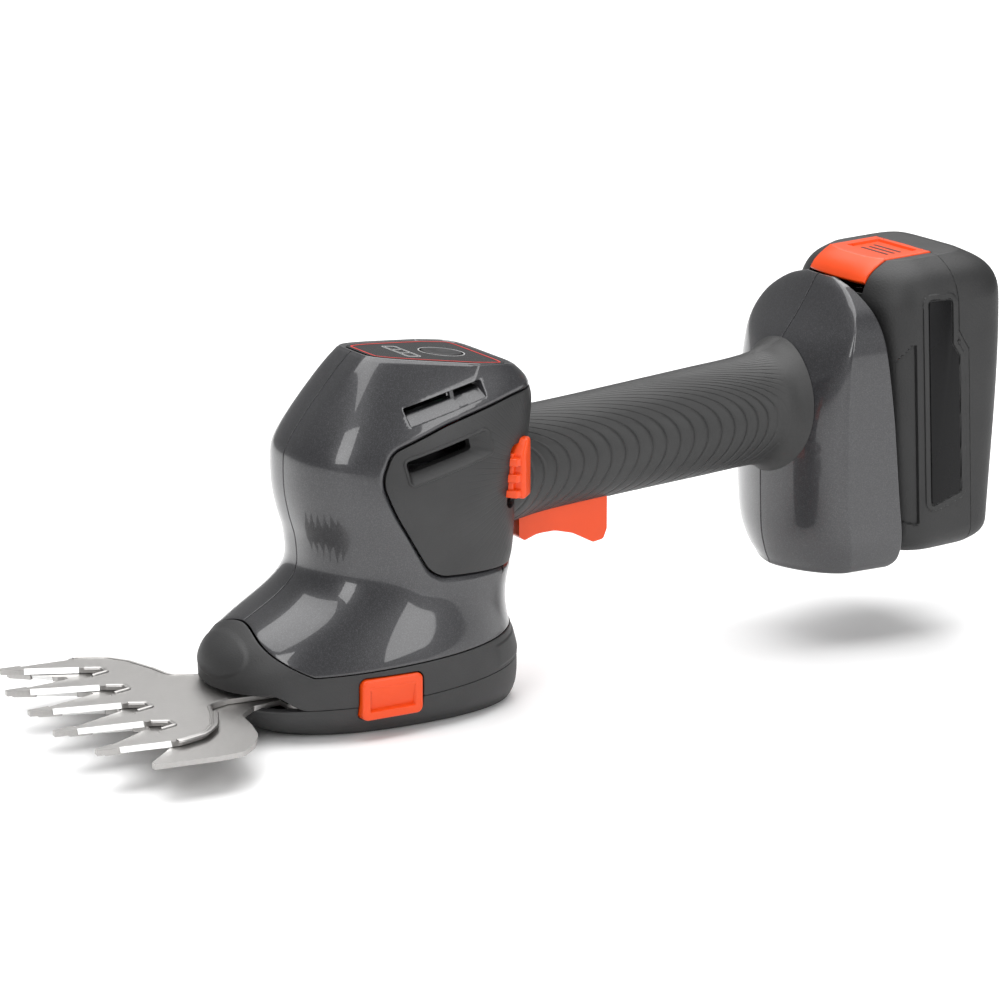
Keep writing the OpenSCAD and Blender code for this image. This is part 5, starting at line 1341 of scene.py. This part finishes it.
def battery_place(s, t):
    """The battery's left half in its own frame, from the front round to the rear, closed above and below."""
    v = min(1.0, max(0.0, (t - BAT_CLOSE) / BAT_UP))
    draw = max(0.0, min(1.0, t / BAT_CLOSE, (BAT_UP + 2 * BAT_CLOSE - t) / BAT_CLOSE))
    u = (1 - math.cos(math.pi * v)) / 2
    front, half, rear = (col(u) for col in BAT)
    angle = math.pi + math.pi * s / BAT_ROUND
    c, si = math.cos(angle), math.sin(angle)
    k = squared(c, si, 2.6 if c < 0 else 6.0)
    return Vector(((front if c < 0 else rear) * c * k * draw, half * si * k * draw, u * BAT_H))


def battery_find(x, z):
    """From a place on the battery's side to the flat pattern."""
    t = BAT_CLOSE + BAT_UP * math.acos(1 - 2 * z / BAT_H) / math.pi
    return Vector((bisected(0.0, BAT_ROUND, lambda s: battery_place(s, t).x < x), t))


def parting_x(z):
    for (x0, z0), (x1, z1) in zip(PARTING, PARTING[1:]):
        if z <= z1:
            return x0 + (x1 - x0) * (z - z0) / (z1 - z0)
    return PARTING[-1][0]


def battery_sheet():
    return Sheet(*BAT_GRID, BAT_ROUND, BAT_UP + 2 * BAT_CLOSE, battery_place, BAT_MIDDLE)


def closed_over(bm):
    """Joins the battery's left half to its mirror image."""
    bmesh.ops.remove_doubles(bm, verts=bm.verts, dist=0.01)
    join(bm, mirrored(bm))
    bmesh.ops.remove_doubles(bm, verts=[v for v in bm.verts if abs(v.co.y) < 0.05], dist=0.05)
    return bm


def slice_through(bm, near, plane, no):
    """Cuts the faces whose middles are near along a plane."""
    bmesh.ops.bisect_plane(bm, geom=around([f for f in bm.faces if near(f.calc_center_median())]), dist=0.02,
                           plane_co=plane, plane_no=no)


class SHEARS_OT_battery(bpy.types.Operator):
    """Makes the battery's cases and label plates"""
    bl_idname = "shears.battery"
    bl_label = "Battery"

    def relief(self, sheet, outline, wall, depth):
        """Scores an outline and the foot of its sloping wall; the moves are made once the sheet is laid."""
        foot = grown(outline, -wall)
        for line in (outline, foot):
            sheet.score(patterned(battery_find, line, 1.0, 0.4))
        return grown(outline, -wall + 0.04), depth

    def execute(self, context):
        sheet = battery_sheet()
        moves = [self.relief(sheet, line, wall, depth) for line, wall, depth in RELIEFS]
        sheet.lay()
        for line, depth in moves:
            for v in sheet.bm.verts:
                if v.co.y < -20 and inside(line, v.co.x, v.co.z):
                    v.co.y += depth
        bm = closed_over(sheet.bm)
        for (x0, z0), (x1, z1) in zip(PARTING, PARTING[1:]):
            slice_through(bm, lambda p: z0 - 3 < p.z < z1 + 3 and 6 < p.x < 18, (x0, 0, z0),
                          Vector((z1 - z0, 0, x0 - x1)).normalized())
        half, rear = LATCH_HALF + LATCH_ROOM, LATCH_REAR + LATCH_ROOM
        low = LATCH_LOW - LATCH_TRAVEL - LATCH_ROOM
        for plane, no in (((0, -half, 0), (0, 1, 0)), ((0, half, 0), (0, 1, 0)), ((rear, 0, 0), (1, 0, 0)),
                          ((0, 0, low), (0, 0, 1))):
            slice_through(bm, lambda p: p.z > low - 3 and p.x < 14 and abs(p.y) < half + 3, plane, no)
        for lo, hi, top in RAIL_SLOTS:
            def by_slot(p):
                return p.x < RAIL_FRONT and abs(abs(p.y) - (lo + hi) / 2) < 4

            for y in (-hi, -lo, lo, hi):
                slice_through(bm, lambda p: by_slot(p) and p.z < top + 3, (0, y, 0), (0, 1, 0))
            slice_through(bm, lambda p: by_slot(p) and abs(p.z - top) < 3, (0, 0, top), (0, 0, 1))

        def opened(p):
            if p.z > low and p.x < rear and abs(p.y) < half:
                return True
            return any(p.x < RAIL_FRONT and p.z < top and lo < abs(p.y) < hi for lo, hi, top in RAIL_SLOTS)

        gone = [f for f in bm.faces if opened(f.calc_center_median())]
        bmesh.ops.delete(bm, geom=gone, context="FACES")
        back = bm.copy()
        for part, sign, name, node in ((bm, 1, "battery_front_matte", "battery_case_front"),
                                       (back, -1, "battery_rear_matte", "battery_case_rear")):
            gone = [f for f in part.faces
                    if (f.calc_center_median().x - parting_x(f.calc_center_median().z)) * sign > 0]
            bmesh.ops.delete(part, geom=gone, context="FACES")
            bmesh.ops.dissolve_degenerate(part, edges=part.edges, dist=0.02)
            carry_rim(part, open_edges(part), edge_round(CASE_ROUND, CASE_WALL, 3), CASE_ROUND)
            # The walls round the latch stand upright, so that it can be pressed
            for v in part.verts:
                if v.co.z > low - 0.5 and v.co.x < rear + 0.05 and abs(v.co.y) < half + 0.05:
                    if abs(v.co.y) > half - LATCH_LEAN:
                        v.co.y = math.copysign(half, v.co.y)
                    elif v.co.x > rear - LATCH_LEAN:
                        v.co.x = rear
            if sign > 0:
                floor, level = oblong(-22.5, -half - 1, rear + 1, half + 1, 0.5, 2), low - LATCH_TRAVEL - 0.8
                join(part, plate(floor, lambda a, b, d: Vector((a, b, level + d)), 0.6, 0.0))
            for v in part.verts:
                v.co = in_battery(v.co)
            finish_mesh(part, name, "battery", "matte_shell", [node], ["battery_shell"])
        bm, seat = bmesh.new(), BAT_W / 2 - 0.1
        for sign in (-1, 1):
            join(bm, plate(LABEL, lambda a, b, d: in_battery((a, sign * (seat + d), b)), 0.45, 0.12))
        finish_mesh(bm, "battery_labels_gloss", "battery", "label_black", ["battery_labels"])
        return {"FINISHED"}


class SHEARS_OT_latch(bpy.types.Operator):
    """Makes the battery's release latch with its framed top, and flat black plates painted as the shade of
    its slots
    """
    bl_idname = "shears.latch"
    bl_label = "Battery latch"

    def execute(self, context):
        proud, sunk, wall, rib, rim_round, rim_wall = 0.35, 0.9, 0.5, 2.0, 0.6, 3.0
        frame_y, frame_front, frame_rear = 13.0, -7.0, 8.0
        sheet = battery_sheet()
        sheet.lay()
        bm = closed_over(sheet.bm)
        half, rear = LATCH_HALF, LATCH_REAR
        gone = [f for f in bm.faces if f.calc_center_median().z < LATCH_LOW - 4]
        bmesh.ops.delete(bm, geom=gone, context="FACES")
        for plane, no in (((0, half, 0), (0, 1, 0)), ((0, -half, 0), (0, -1, 0)), ((rear, 0, 0), (1, 0, 0)),
                          ((0, 0, LATCH_LOW), (0, 0, -1))):
            bmesh.ops.bisect_plane(bm, geom=around(bm.faces), dist=0.02, plane_co=plane, plane_no=no,
                                   clear_outer=True)
        for inset in (0.0, wall):
            y, front, back = frame_y - inset, frame_front + inset, frame_rear - inset
            for plane, no in (((0, y, 0), (0, 1, 0)), ((0, -y, 0), (0, 1, 0)), ((back, 0, 0), (1, 0, 0)),
                              ((front, 0, 0), (1, 0, 0))):
                slice_through(bm, lambda p: p.z > BAT_H - 3, plane, no)
        bm.normal_update()
        for v, n in [(v, v.normal.copy()) for v in bm.verts]:
            v.co += n * proud
        for v in bm.verts:
            if abs(v.co.y) < y + 0.1 and front - 0.1 < v.co.x < back + 0.1 and v.co.z > BAT_H - 1:
                v.co.z -= sunk
        carry_rim(bm, open_edges(bm), edge_round(rim_round, rim_wall, 4), rim_round)
        for v in bm.verts:
            v.co = in_battery(v.co)
        finish_mesh(bm, "battery_latch_orange", "latch", "orange", ["battery_latch"], sharp=28)
        # The slots are not cut. Flat black plates on the sunk top are painted shade where the slots' hollows
        # would be dark.
        bm, floor = bmesh.new(), BAT_H + proud - sunk - 0.1
        slot_half, slot_short, slot_set = 8.8, 1.2, 2.6
        for i in range(4):
            front = frame_rear - slot_set - (i + 1) * 1.5 * rib
            slot = oblong(front, -slot_half, front + 0.55 * rib, slot_half - slot_short * (i % 2), 0.4, 3)
            join(bm, plate(slot, lambda a, b, d: in_battery((a, b, floor + d)), 0.16, 0.0))
        finish_mesh(bm, "battery_latch_slot_shade", "latch", "orange", looks=["button_black"])
        return {"FINISHED"}


# Trigger


class SHEARS_OT_trigger(bpy.types.Operator):
    """Makes the trigger under the handle"""
    bl_idname = "shears.trigger"
    bl_label = "Trigger"

    def execute(self, context):
        x0, length, drop, pin_set, pin_drop, wide = 92.39, 38.0, 24.0, 4.6, 4.0, 15.0
        top = grip_axis(x0) - 0.34 * GRIP_H + pin_drop
        shares = [(0.00, 0.10), (0.00, 0.72), (0.06, 0.80), (0.20, 0.72), (0.40, 0.71), (0.62, 0.80),
                  (0.84, 0.99), (0.96, 0.96), (1.00, 0.80), (1.00, 0.20), (0.94, 0.00), (0.10, 0.00)]
        radii = [0.02, 0.02, 0.03, 0.30, 0.30, 0.30, 0.06, 0.05, 0.05, 0.04, 0.04, 0.04]
        outline = rounded([(x0 + a * length, top - b * drop) for a, b in shares],
                          [r * length for r in radii], 6)
        hole = circle(x0 + pin_set, top - pin_drop, 2.05, 24)
        bm = plate(outline, lambda a, b, d: Vector((a, d - wide / 2, b)), wide, 1.5, 4, holes=[hole])
        finish_mesh(bm, "trigger_orange", "trigger_lever", "orange", ["trigger"], sharp=28)
        return {"FINISHED"}


# Blades

REACH, PITCH, TIP_W, NECK_W, BLADE_T = 98.5, 26.0, 2.6, 34.0, 1.8
UPPER_SIDES = [(0.305, 0.000), (0.386, 0.135), (0.411, 0.500), (0.462, 1.000), (0.523, 1.290), (0.630, 1.450)]
LOWER_SIDES = [(0.244, 0.115), (0.329, 0.385), (0.354, 0.885), (0.382, 1.260), (0.435, 1.580), (0.510, 1.830),
               (0.609, 1.846)]
SIDE_RADII = [0, 0.05, 0.12, 0.12, 0.12, 0.06, 0.06]
UPPER_TIPS = [(1.000, 0.0), (0.997, 1.0), (0.934, 2.0)]
LOWER_TIPS = [(0.945, 0.5), (0.928, 1.5), (0.845, 2.35)]
UPPER_ROOT, LOWER_ROOT = (57.0, 11.0), (67.0, 4.6)
UPPER_Z, LOWER_Z, REST_TURN = 14.7, 12.65, 5.3
PIVOT_HOLE, STUD_HOLE = 4.05, 2.55
GRIND, GRIND_TIP, GRIND_ROOT, GRIND_END = 1.4, 8.0, 1.6, 0.3
BEAD_SET, ROOT_BEAD, SIDE_BEAD = 0.75, (2.2, 0.75), (1.5, 0.5)


def spot(p):
    """A point's place, rounded so that it can be looked up."""
    return round(p[0], 3), round(p[1], 3)


def lines_at(path):
    """The points of an open path, each with the way across the path."""
    for i, p in enumerate(path):
        along = (path[min(i + 1, len(path) - 1)] - path[max(i - 1, 0)]).normalized()
        yield p, Vector((-along.y, along.x))


class ToothedPlate:
    """The outline of a blade, walked from its neck round the teeth and back, with its ground flanks."""

    def __init__(self, half_tips, odd, sides, roots, outer_ground):
        self.line, self.lift, self.roots = [], {}, []
        root, root_w = roots
        tips = list(reversed(half_tips)) + [(a, -b) for a, b in half_tips[1 if odd else 0:]]
        half = [Vector((-a * REACH, NECK_W / 2 + b * PITCH)) for a, b in sides]
        radii = [REACH * r for r in SIDE_RADII[:len(half)]]
        points, rounds = [Vector((0, NECK_W / 2))] + half, [0.0] + radii
        flanks = [None] * len(points)
        ends = [(Vector((-a * REACH, b * PITCH))) for a, b in tips]
        for i, tip in enumerate(ends):
            points += [tip + Vector((0, TIP_W / 2)), tip - Vector((0, TIP_W / 2))]
            rounds += [0.0, 0.0]
            flanks += [None, "flank_in"]
            if i + 1 < len(ends):
                mid = (tip.y + ends[i + 1].y) / 2 * 0.9
                neck, corner = -root - 0.6 * root_w, 0.26 * root_w
                points += [Vector((neck, mid + root_w / 2)), Vector((-root, mid + corner)),
                           Vector((-root, mid - corner)), Vector((neck, mid - root_w / 2))]
                rounds += [0.33 * root_w, 0.2 * root_w, 0.2 * root_w, 0.33 * root_w]
                flanks += [None, None, None, "flank_out"]
        points += flipped(half) + [Vector((0, -NECK_W / 2))]
        rounds += list(reversed(radii)) + [0.0]
        flanks += [None] * (len(half) + 1)
        flanks[len(half)] = "flank_out" if outer_ground else None
        flanks[len(points) - len(half) - 2] = "flank_in" if outer_ground else None
        self.walk(points, rounds, flanks, len(half))

    def walk(self, points, rounds, flanks, shoulder):
        """Rounds the corners, and marks the stretches of the tooth flanks that are ground."""
        n = len(points)
        for i in range(n):
            corner = rounded([points[i - 1], points[i], points[(i + 1) % n]], [0, rounds[i], 0], 6)[1:-1]
            self.line += corner
            if i == shoulder:
                self.side_end = len(self.line)
            if rounds[i] and flanks[i - 1] == "flank_in":
                self.roots.append([])
            if self.roots and rounds[i] and len(self.roots[-1]) < 4:
                self.roots[-1].append(corner)
            if flanks[i]:
                start, after = corner[-1], points[(i + 1) % n]
                ahead = rounded([points[i], after, points[(i + 2) % n]], [0, rounds[(i + 1) % n], 0], 6)[1]
                way = (ahead - start).normalized()
                length = (ahead - start).length
                trim = (GRIND_TIP, GRIND_ROOT) if flanks[i] == "flank_in" else (GRIND_ROOT, GRIND_TIP)
                into = Vector((-way.y, way.x)) * GRIND
                first, last = trim[0], length - trim[1]
                for at in (first, first + GRIND_END, last - GRIND_END, last):
                    p = start + way * at
                    self.line.append(p)
                    if at not in (first, last):
                        self.lift[spot(p)] = p + into


def blade_bead(paths, z, wide, tall):
    """A rolled bead along lines on a blade's upper face."""
    bm = bmesh.new()
    for path in paths:
        edges, last = [], None
        for p, across in lines_at(path):
            section = [p + across * wide * k for k in (-0.5, -0.35, 0, 0.35, 0.5)]
            heights = [-0.05, 0.7 * tall, tall, 0.7 * tall, -0.05]
            row = [Vector((q.x, q.y, z + h)) for q, h in zip(section, heights)]
            if last is None:
                last = [bm.verts.new(q) for q in row]
                edges = [bm.edges.new(pair) for pair in zip(last, last[1:])]
            else:
                last, edges = drawn_on(bm, last, edges, row)
    bmesh.ops.recalc_face_normals(bm, faces=bm.faces)
    bm.normal_update()
    if sum(f.normal.z for f in bm.faces) < 0:
        bmesh.ops.reverse_faces(bm, faces=bm.faces)
    return bm


class SHEARS_OT_blades(bpy.types.Operator):
    """Makes the two toothed blades with their ground flanks"""
    bl_idname = "shears.blades"
    bl_label = "Blades"

    def blade(self, form, rest, holes, z, ground_above):
        """A blade's plate, ground on one face: the rest of its outline lies inside the foot."""
        def place(a, b, d):
            moved = form.lift.get(spot((a, b))) if (d > BLADE_T / 2) == ground_above else None
            return Vector((moved.x, moved.y, z + d)) if moved else Vector((a, b, z + d))
        bm = plate(form.line + rest, place, BLADE_T, 0.0, holes=holes)
        lifted = {spot(p) for p in form.lift.values()}
        # Faces of the ground flanks take the second, near-white steel, which is a painted highlight.
        for f in bm.faces:
            moved = [v for v in f.verts if (v.co.z > z + BLADE_T / 2) == ground_above]
            if len(moved) == 2 and all(spot(v.co) in lifted for v in moved):
                f.material_index = 1
        return bm

    def execute(self, context):
        steel = ["blade_steel", "ground_flank_painted_highlight"]
        r, tail, fork, slot_x, tail_x = NECK_W / 2, 8.5, 3.9, 20.1, 31.0
        neck = arc(0, 0, r, -math.pi / 2, math.acos(tail / r), 8)[1:]
        half = neck + [Vector(p) for p in ((tail_x, -tail), (tail_x, -fork), (slot_x, -fork))]
        pivot = circle(0, 0, PIVOT_HOLE, 24)
        upper = ToothedPlate(UPPER_TIPS, True, UPPER_SIDES, UPPER_ROOT, True)
        bm = self.blade(upper, half + flipped(half), [pivot], UPPER_Z, True)
        roots = [[p - across * BEAD_SET for p, across in lines_at(sum(corners, []))]
                 for corners in upper.roots]
        join(bm, blade_bead(roots, UPPER_Z + BLADE_T, *ROOT_BEAD))
        edge = grown(upper.line, -BEAD_SET)[1:upper.side_end]
        join(bm, blade_bead([edge, [Vector((p.x, -p.y)) for p in edge]], UPPER_Z + BLADE_T, *SIDE_BEAD))
        bmesh.ops.rotate(bm, verts=bm.verts, cent=(0, 0, 0),
                         matrix=Matrix.Rotation(-math.radians(REST_TURN), 3, "Z"))
        finish_mesh(bm, "upper_blade_steel", "blade", "blade_steel", ["upper_blade"], steel, 25)

        lower = ToothedPlate(LOWER_TIPS, False, LOWER_SIDES, LOWER_ROOT, False)
        stud_x, stud_y, stud_r = -8.0, 22.5, 5.0
        lobe = arc(stud_x, -stud_y, stud_r, -math.pi, math.pi, 12)
        lobe = [Vector((stud_x - stud_r, -r - 1.6))] + lobe + [Vector((stud_x + stud_r, -r - 0.4))]
        lower.line[1:1] = flipped(lobe)
        lower.line[-1:-1] = lobe
        studs = [circle(stud_x, s * stud_y, STUD_HOLE, 20) for s in (-1, 1)]
        rest = arc(0, 0, r, -math.pi / 2, math.pi, 16)[1:-1]
        bm = self.blade(lower, rest, [pivot] + studs, LOWER_Z, False)
        finish_mesh(bm, "lower_blade_steel", "tool", "blade_steel", ["lower_blade"], steel, 25)
        return {"FINISHED"}


class SHEARS_OT_inner_parts(bpy.types.Operator):
    """Gives the solids that stay as they are their finishes"""
    bl_idname = "shears.inner_parts"
    bl_label = "Inner parts"

    def execute(self, context):
        done = finishes()
        slots = {row["node"]: row["material_slot"] for row in frame["record"]["subparts"]}
        for name, obj in frame["nodes"].items():
            obj.data.materials.clear()
            obj.data.materials.append(done[slots[name]])
        return {"FINISHED"}


# Stage, in metres and watts: name, place, aim, width, height, power
SOFTBOXES = [("overhead_softbox", (0.1, 0.25, 1.9), (0.1, 0.25, 0), 2.6, 2.2, 62),
             ("back_softbox", (1.1, 2.0, 1.9), (1.1, 2.0, 0), 1.8, 1.5, 25),
             ("key_softbox", (-1.15, -1.05, 0.95), (0.06, 0, 0.09), 0.55, 1.1, 10),
             ("side_softbox", (0.75, -1.5, 0.75), (0.12, 0, 0.08), 0.5, 1.2, 9)]
FLOOR_HALF, FLOOR_AT, SKY_STRENGTH = 3.0, (0.1, 0, -0.0002), 0.3
SENSOR, LENS, CAMERA_AIM, CAMERA_AWAY = 36.0, 148.4, Vector((0.0886, 0, 0.07073)), 1.52
CAMERA_TURN, CAMERA_RISE = math.radians(-30.28), math.radians(14.57)


class SHEARS_OT_stage(bpy.types.Operator):
    """Sets the pale floor, the soft lights and the camera"""
    bl_idname = "shears.stage"
    bl_label = "Stage"

    def execute(self, context):
        scene = context.scene
        scene.view_settings.view_transform = "Standard"
        bm = bmesh.new()
        bmesh.ops.create_grid(bm, x_segments=1, y_segments=1, size=FLOOR_HALF)
        mesh = bpy.data.meshes.new("floor")
        bm.to_mesh(mesh)
        bm.free()
        floor = bpy.data.objects.new("floor", mesh)
        scene.collection.objects.link(floor)
        floor.location = FLOOR_AT
        mat, tree, bsdf, coords = new_material("floor_white")
        tone = ramp(tree, noise(tree, coords, 2.0), [(0.3, grey(0.93)), (0.7, grey(0.95))])
        tree.links.new(tone, bsdf.inputs["Base Color"])
        bsdf.inputs["Roughness"].default_value = 0.7
        mesh.materials.append(mat)
        world = bpy.data.worlds.new("studio")
        world.use_nodes = True
        sky = world.node_tree.nodes["Background"]
        sky.inputs["Color"].default_value = (1, 1, 1, 1)
        sky.inputs["Strength"].default_value = SKY_STRENGTH
        scene.world = world
        for name, at, aim, w, h, power in SOFTBOXES:
            data = bpy.data.lights.new(name, "AREA")
            data.shape = "RECTANGLE"
            data.size, data.size_y, data.energy = w, h, power
            lamp = bpy.data.objects.new(name, data)
            scene.collection.objects.link(lamp)
            lamp.location = at
            lamp.rotation_euler = (Vector(aim) - Vector(at)).to_track_quat("-Z", "Y").to_euler()
        data = bpy.data.cameras.new("camera")
        data.sensor_width, data.lens = SENSOR, LENS
        data.clip_start, data.clip_end = 0.05, 30.0
        camera = bpy.data.objects.new("camera", data)
        scene.collection.objects.link(camera)
        level = math.cos(CAMERA_RISE)
        out = Vector((level * math.sin(CAMERA_TURN), -level * math.cos(CAMERA_TURN), math.sin(CAMERA_RISE)))
        camera.location = CAMERA_AIM + out * CAMERA_AWAY
        camera.rotation_euler = (-out).to_track_quat("-Z", "Y").to_euler()
        scene.camera = camera
        return {"FINISHED"}


def colour_prop(name, description, default):
    return FloatVectorProperty(name=name, description=description, subtype="COLOR", size=3, min=0, max=1,
                               default=default)


def length_prop(name, description, default, low, high):
    return FloatProperty(name=name, description=description, unit="LENGTH", min=low, max=high,
                         default=default, precision=5)


class ShearsColours(bpy.types.PropertyGroup):
    """The colours of the shears"""
    gloss_grey: colour_prop("Gloss grey", "Colour of the glossy shells", (0.03, 0.03, 0.033))
    matte_grey: colour_prop("Matte grey", "Colour of the matte foot and side covers", (0.022, 0.022, 0.0225))
    battery_grey: colour_prop("Battery grey", "Colour of the battery's case", (0.012, 0.012, 0.0123))
    grip_grey: colour_prop("Grip grey", "Colour of the soft handle", (0.02, 0.02, 0.02))
    orange: colour_prop("Orange", "Colour of the controls", (0.74, 0.06, 0.003))
    blade_steel: colour_prop("Blade steel", "Colour of the blades", (0.41, 0.4, 0.39))


class ShearsSizes(bpy.types.PropertyGroup):
    """The small sizes of the shears"""
    seam_round: length_prop("Seam rounding", "Radius of the edges along the seams", 0.0003, 0.0001, 0.001)
    seam_gap: length_prop("Seam gap", "Half of the gap along the middle seams", 0.0002, 0.0, 0.0005)
    cover_band: length_prop("Cover band", "Width of the band round a side cover", 0.002, 0.0005, 0.004)
    top_round: length_prop("Top rounding", "Radius of the rim round the top panel", 0.0007, 0.0002, 0.002)
    groove_depth: length_prop("Groove depth", "Depth of the grip's grooves", 0.00028, 0.0, 0.001)
    groove_width: length_prop("Groove width", "Width of the grip's grooves", 0.0006, 0.0002, 0.002)


OPERATORS = [SHEARS_OT_inner_parts, SHEARS_OT_head, SHEARS_OT_side_covers, SHEARS_OT_lock, SHEARS_OT_base,
             SHEARS_OT_release, SHEARS_OT_panel, SHEARS_OT_rear_housing, SHEARS_OT_handle, SHEARS_OT_battery,
             SHEARS_OT_latch, SHEARS_OT_trigger, SHEARS_OT_blades, SHEARS_OT_stage]


class SHEARS_PT_panel(bpy.types.Panel):
    """Lists the pieces of the shears"""
    bl_idname = "SHEARS_PT_panel"
    bl_label = "Grass shears"
    bl_space_type = "VIEW_3D"
    bl_region_type = "UI"
    bl_category = "Shears"

    def draw(self, context):
        for group in (context.scene.shears_colours, context.scene.shears_sizes):
            for key in group.__annotations__:
                self.layout.prop(group, key)
        for op in OPERATORS:
            self.layout.operator(op.bl_idname)


CLASSES = [ShearsColours, ShearsSizes, *OPERATORS, SHEARS_PT_panel]


def register():
    for cls in CLASSES:
        bpy.utils.register_class(cls)
    bpy.types.Scene.shears_colours = PointerProperty(type=ShearsColours)
    bpy.types.Scene.shears_sizes = PointerProperty(type=ShearsSizes)


def unregister():
    del bpy.types.Scene.shears_sizes
    del bpy.types.Scene.shears_colours
    for cls in reversed(CLASSES):
        bpy.utils.unregister_class(cls)


def main():
    register()
    for op in OPERATORS:
        name = op.bl_idname.split(".")[1]
        getattr(bpy.ops.shears, name)()


if __name__ == "__main__":
    main()
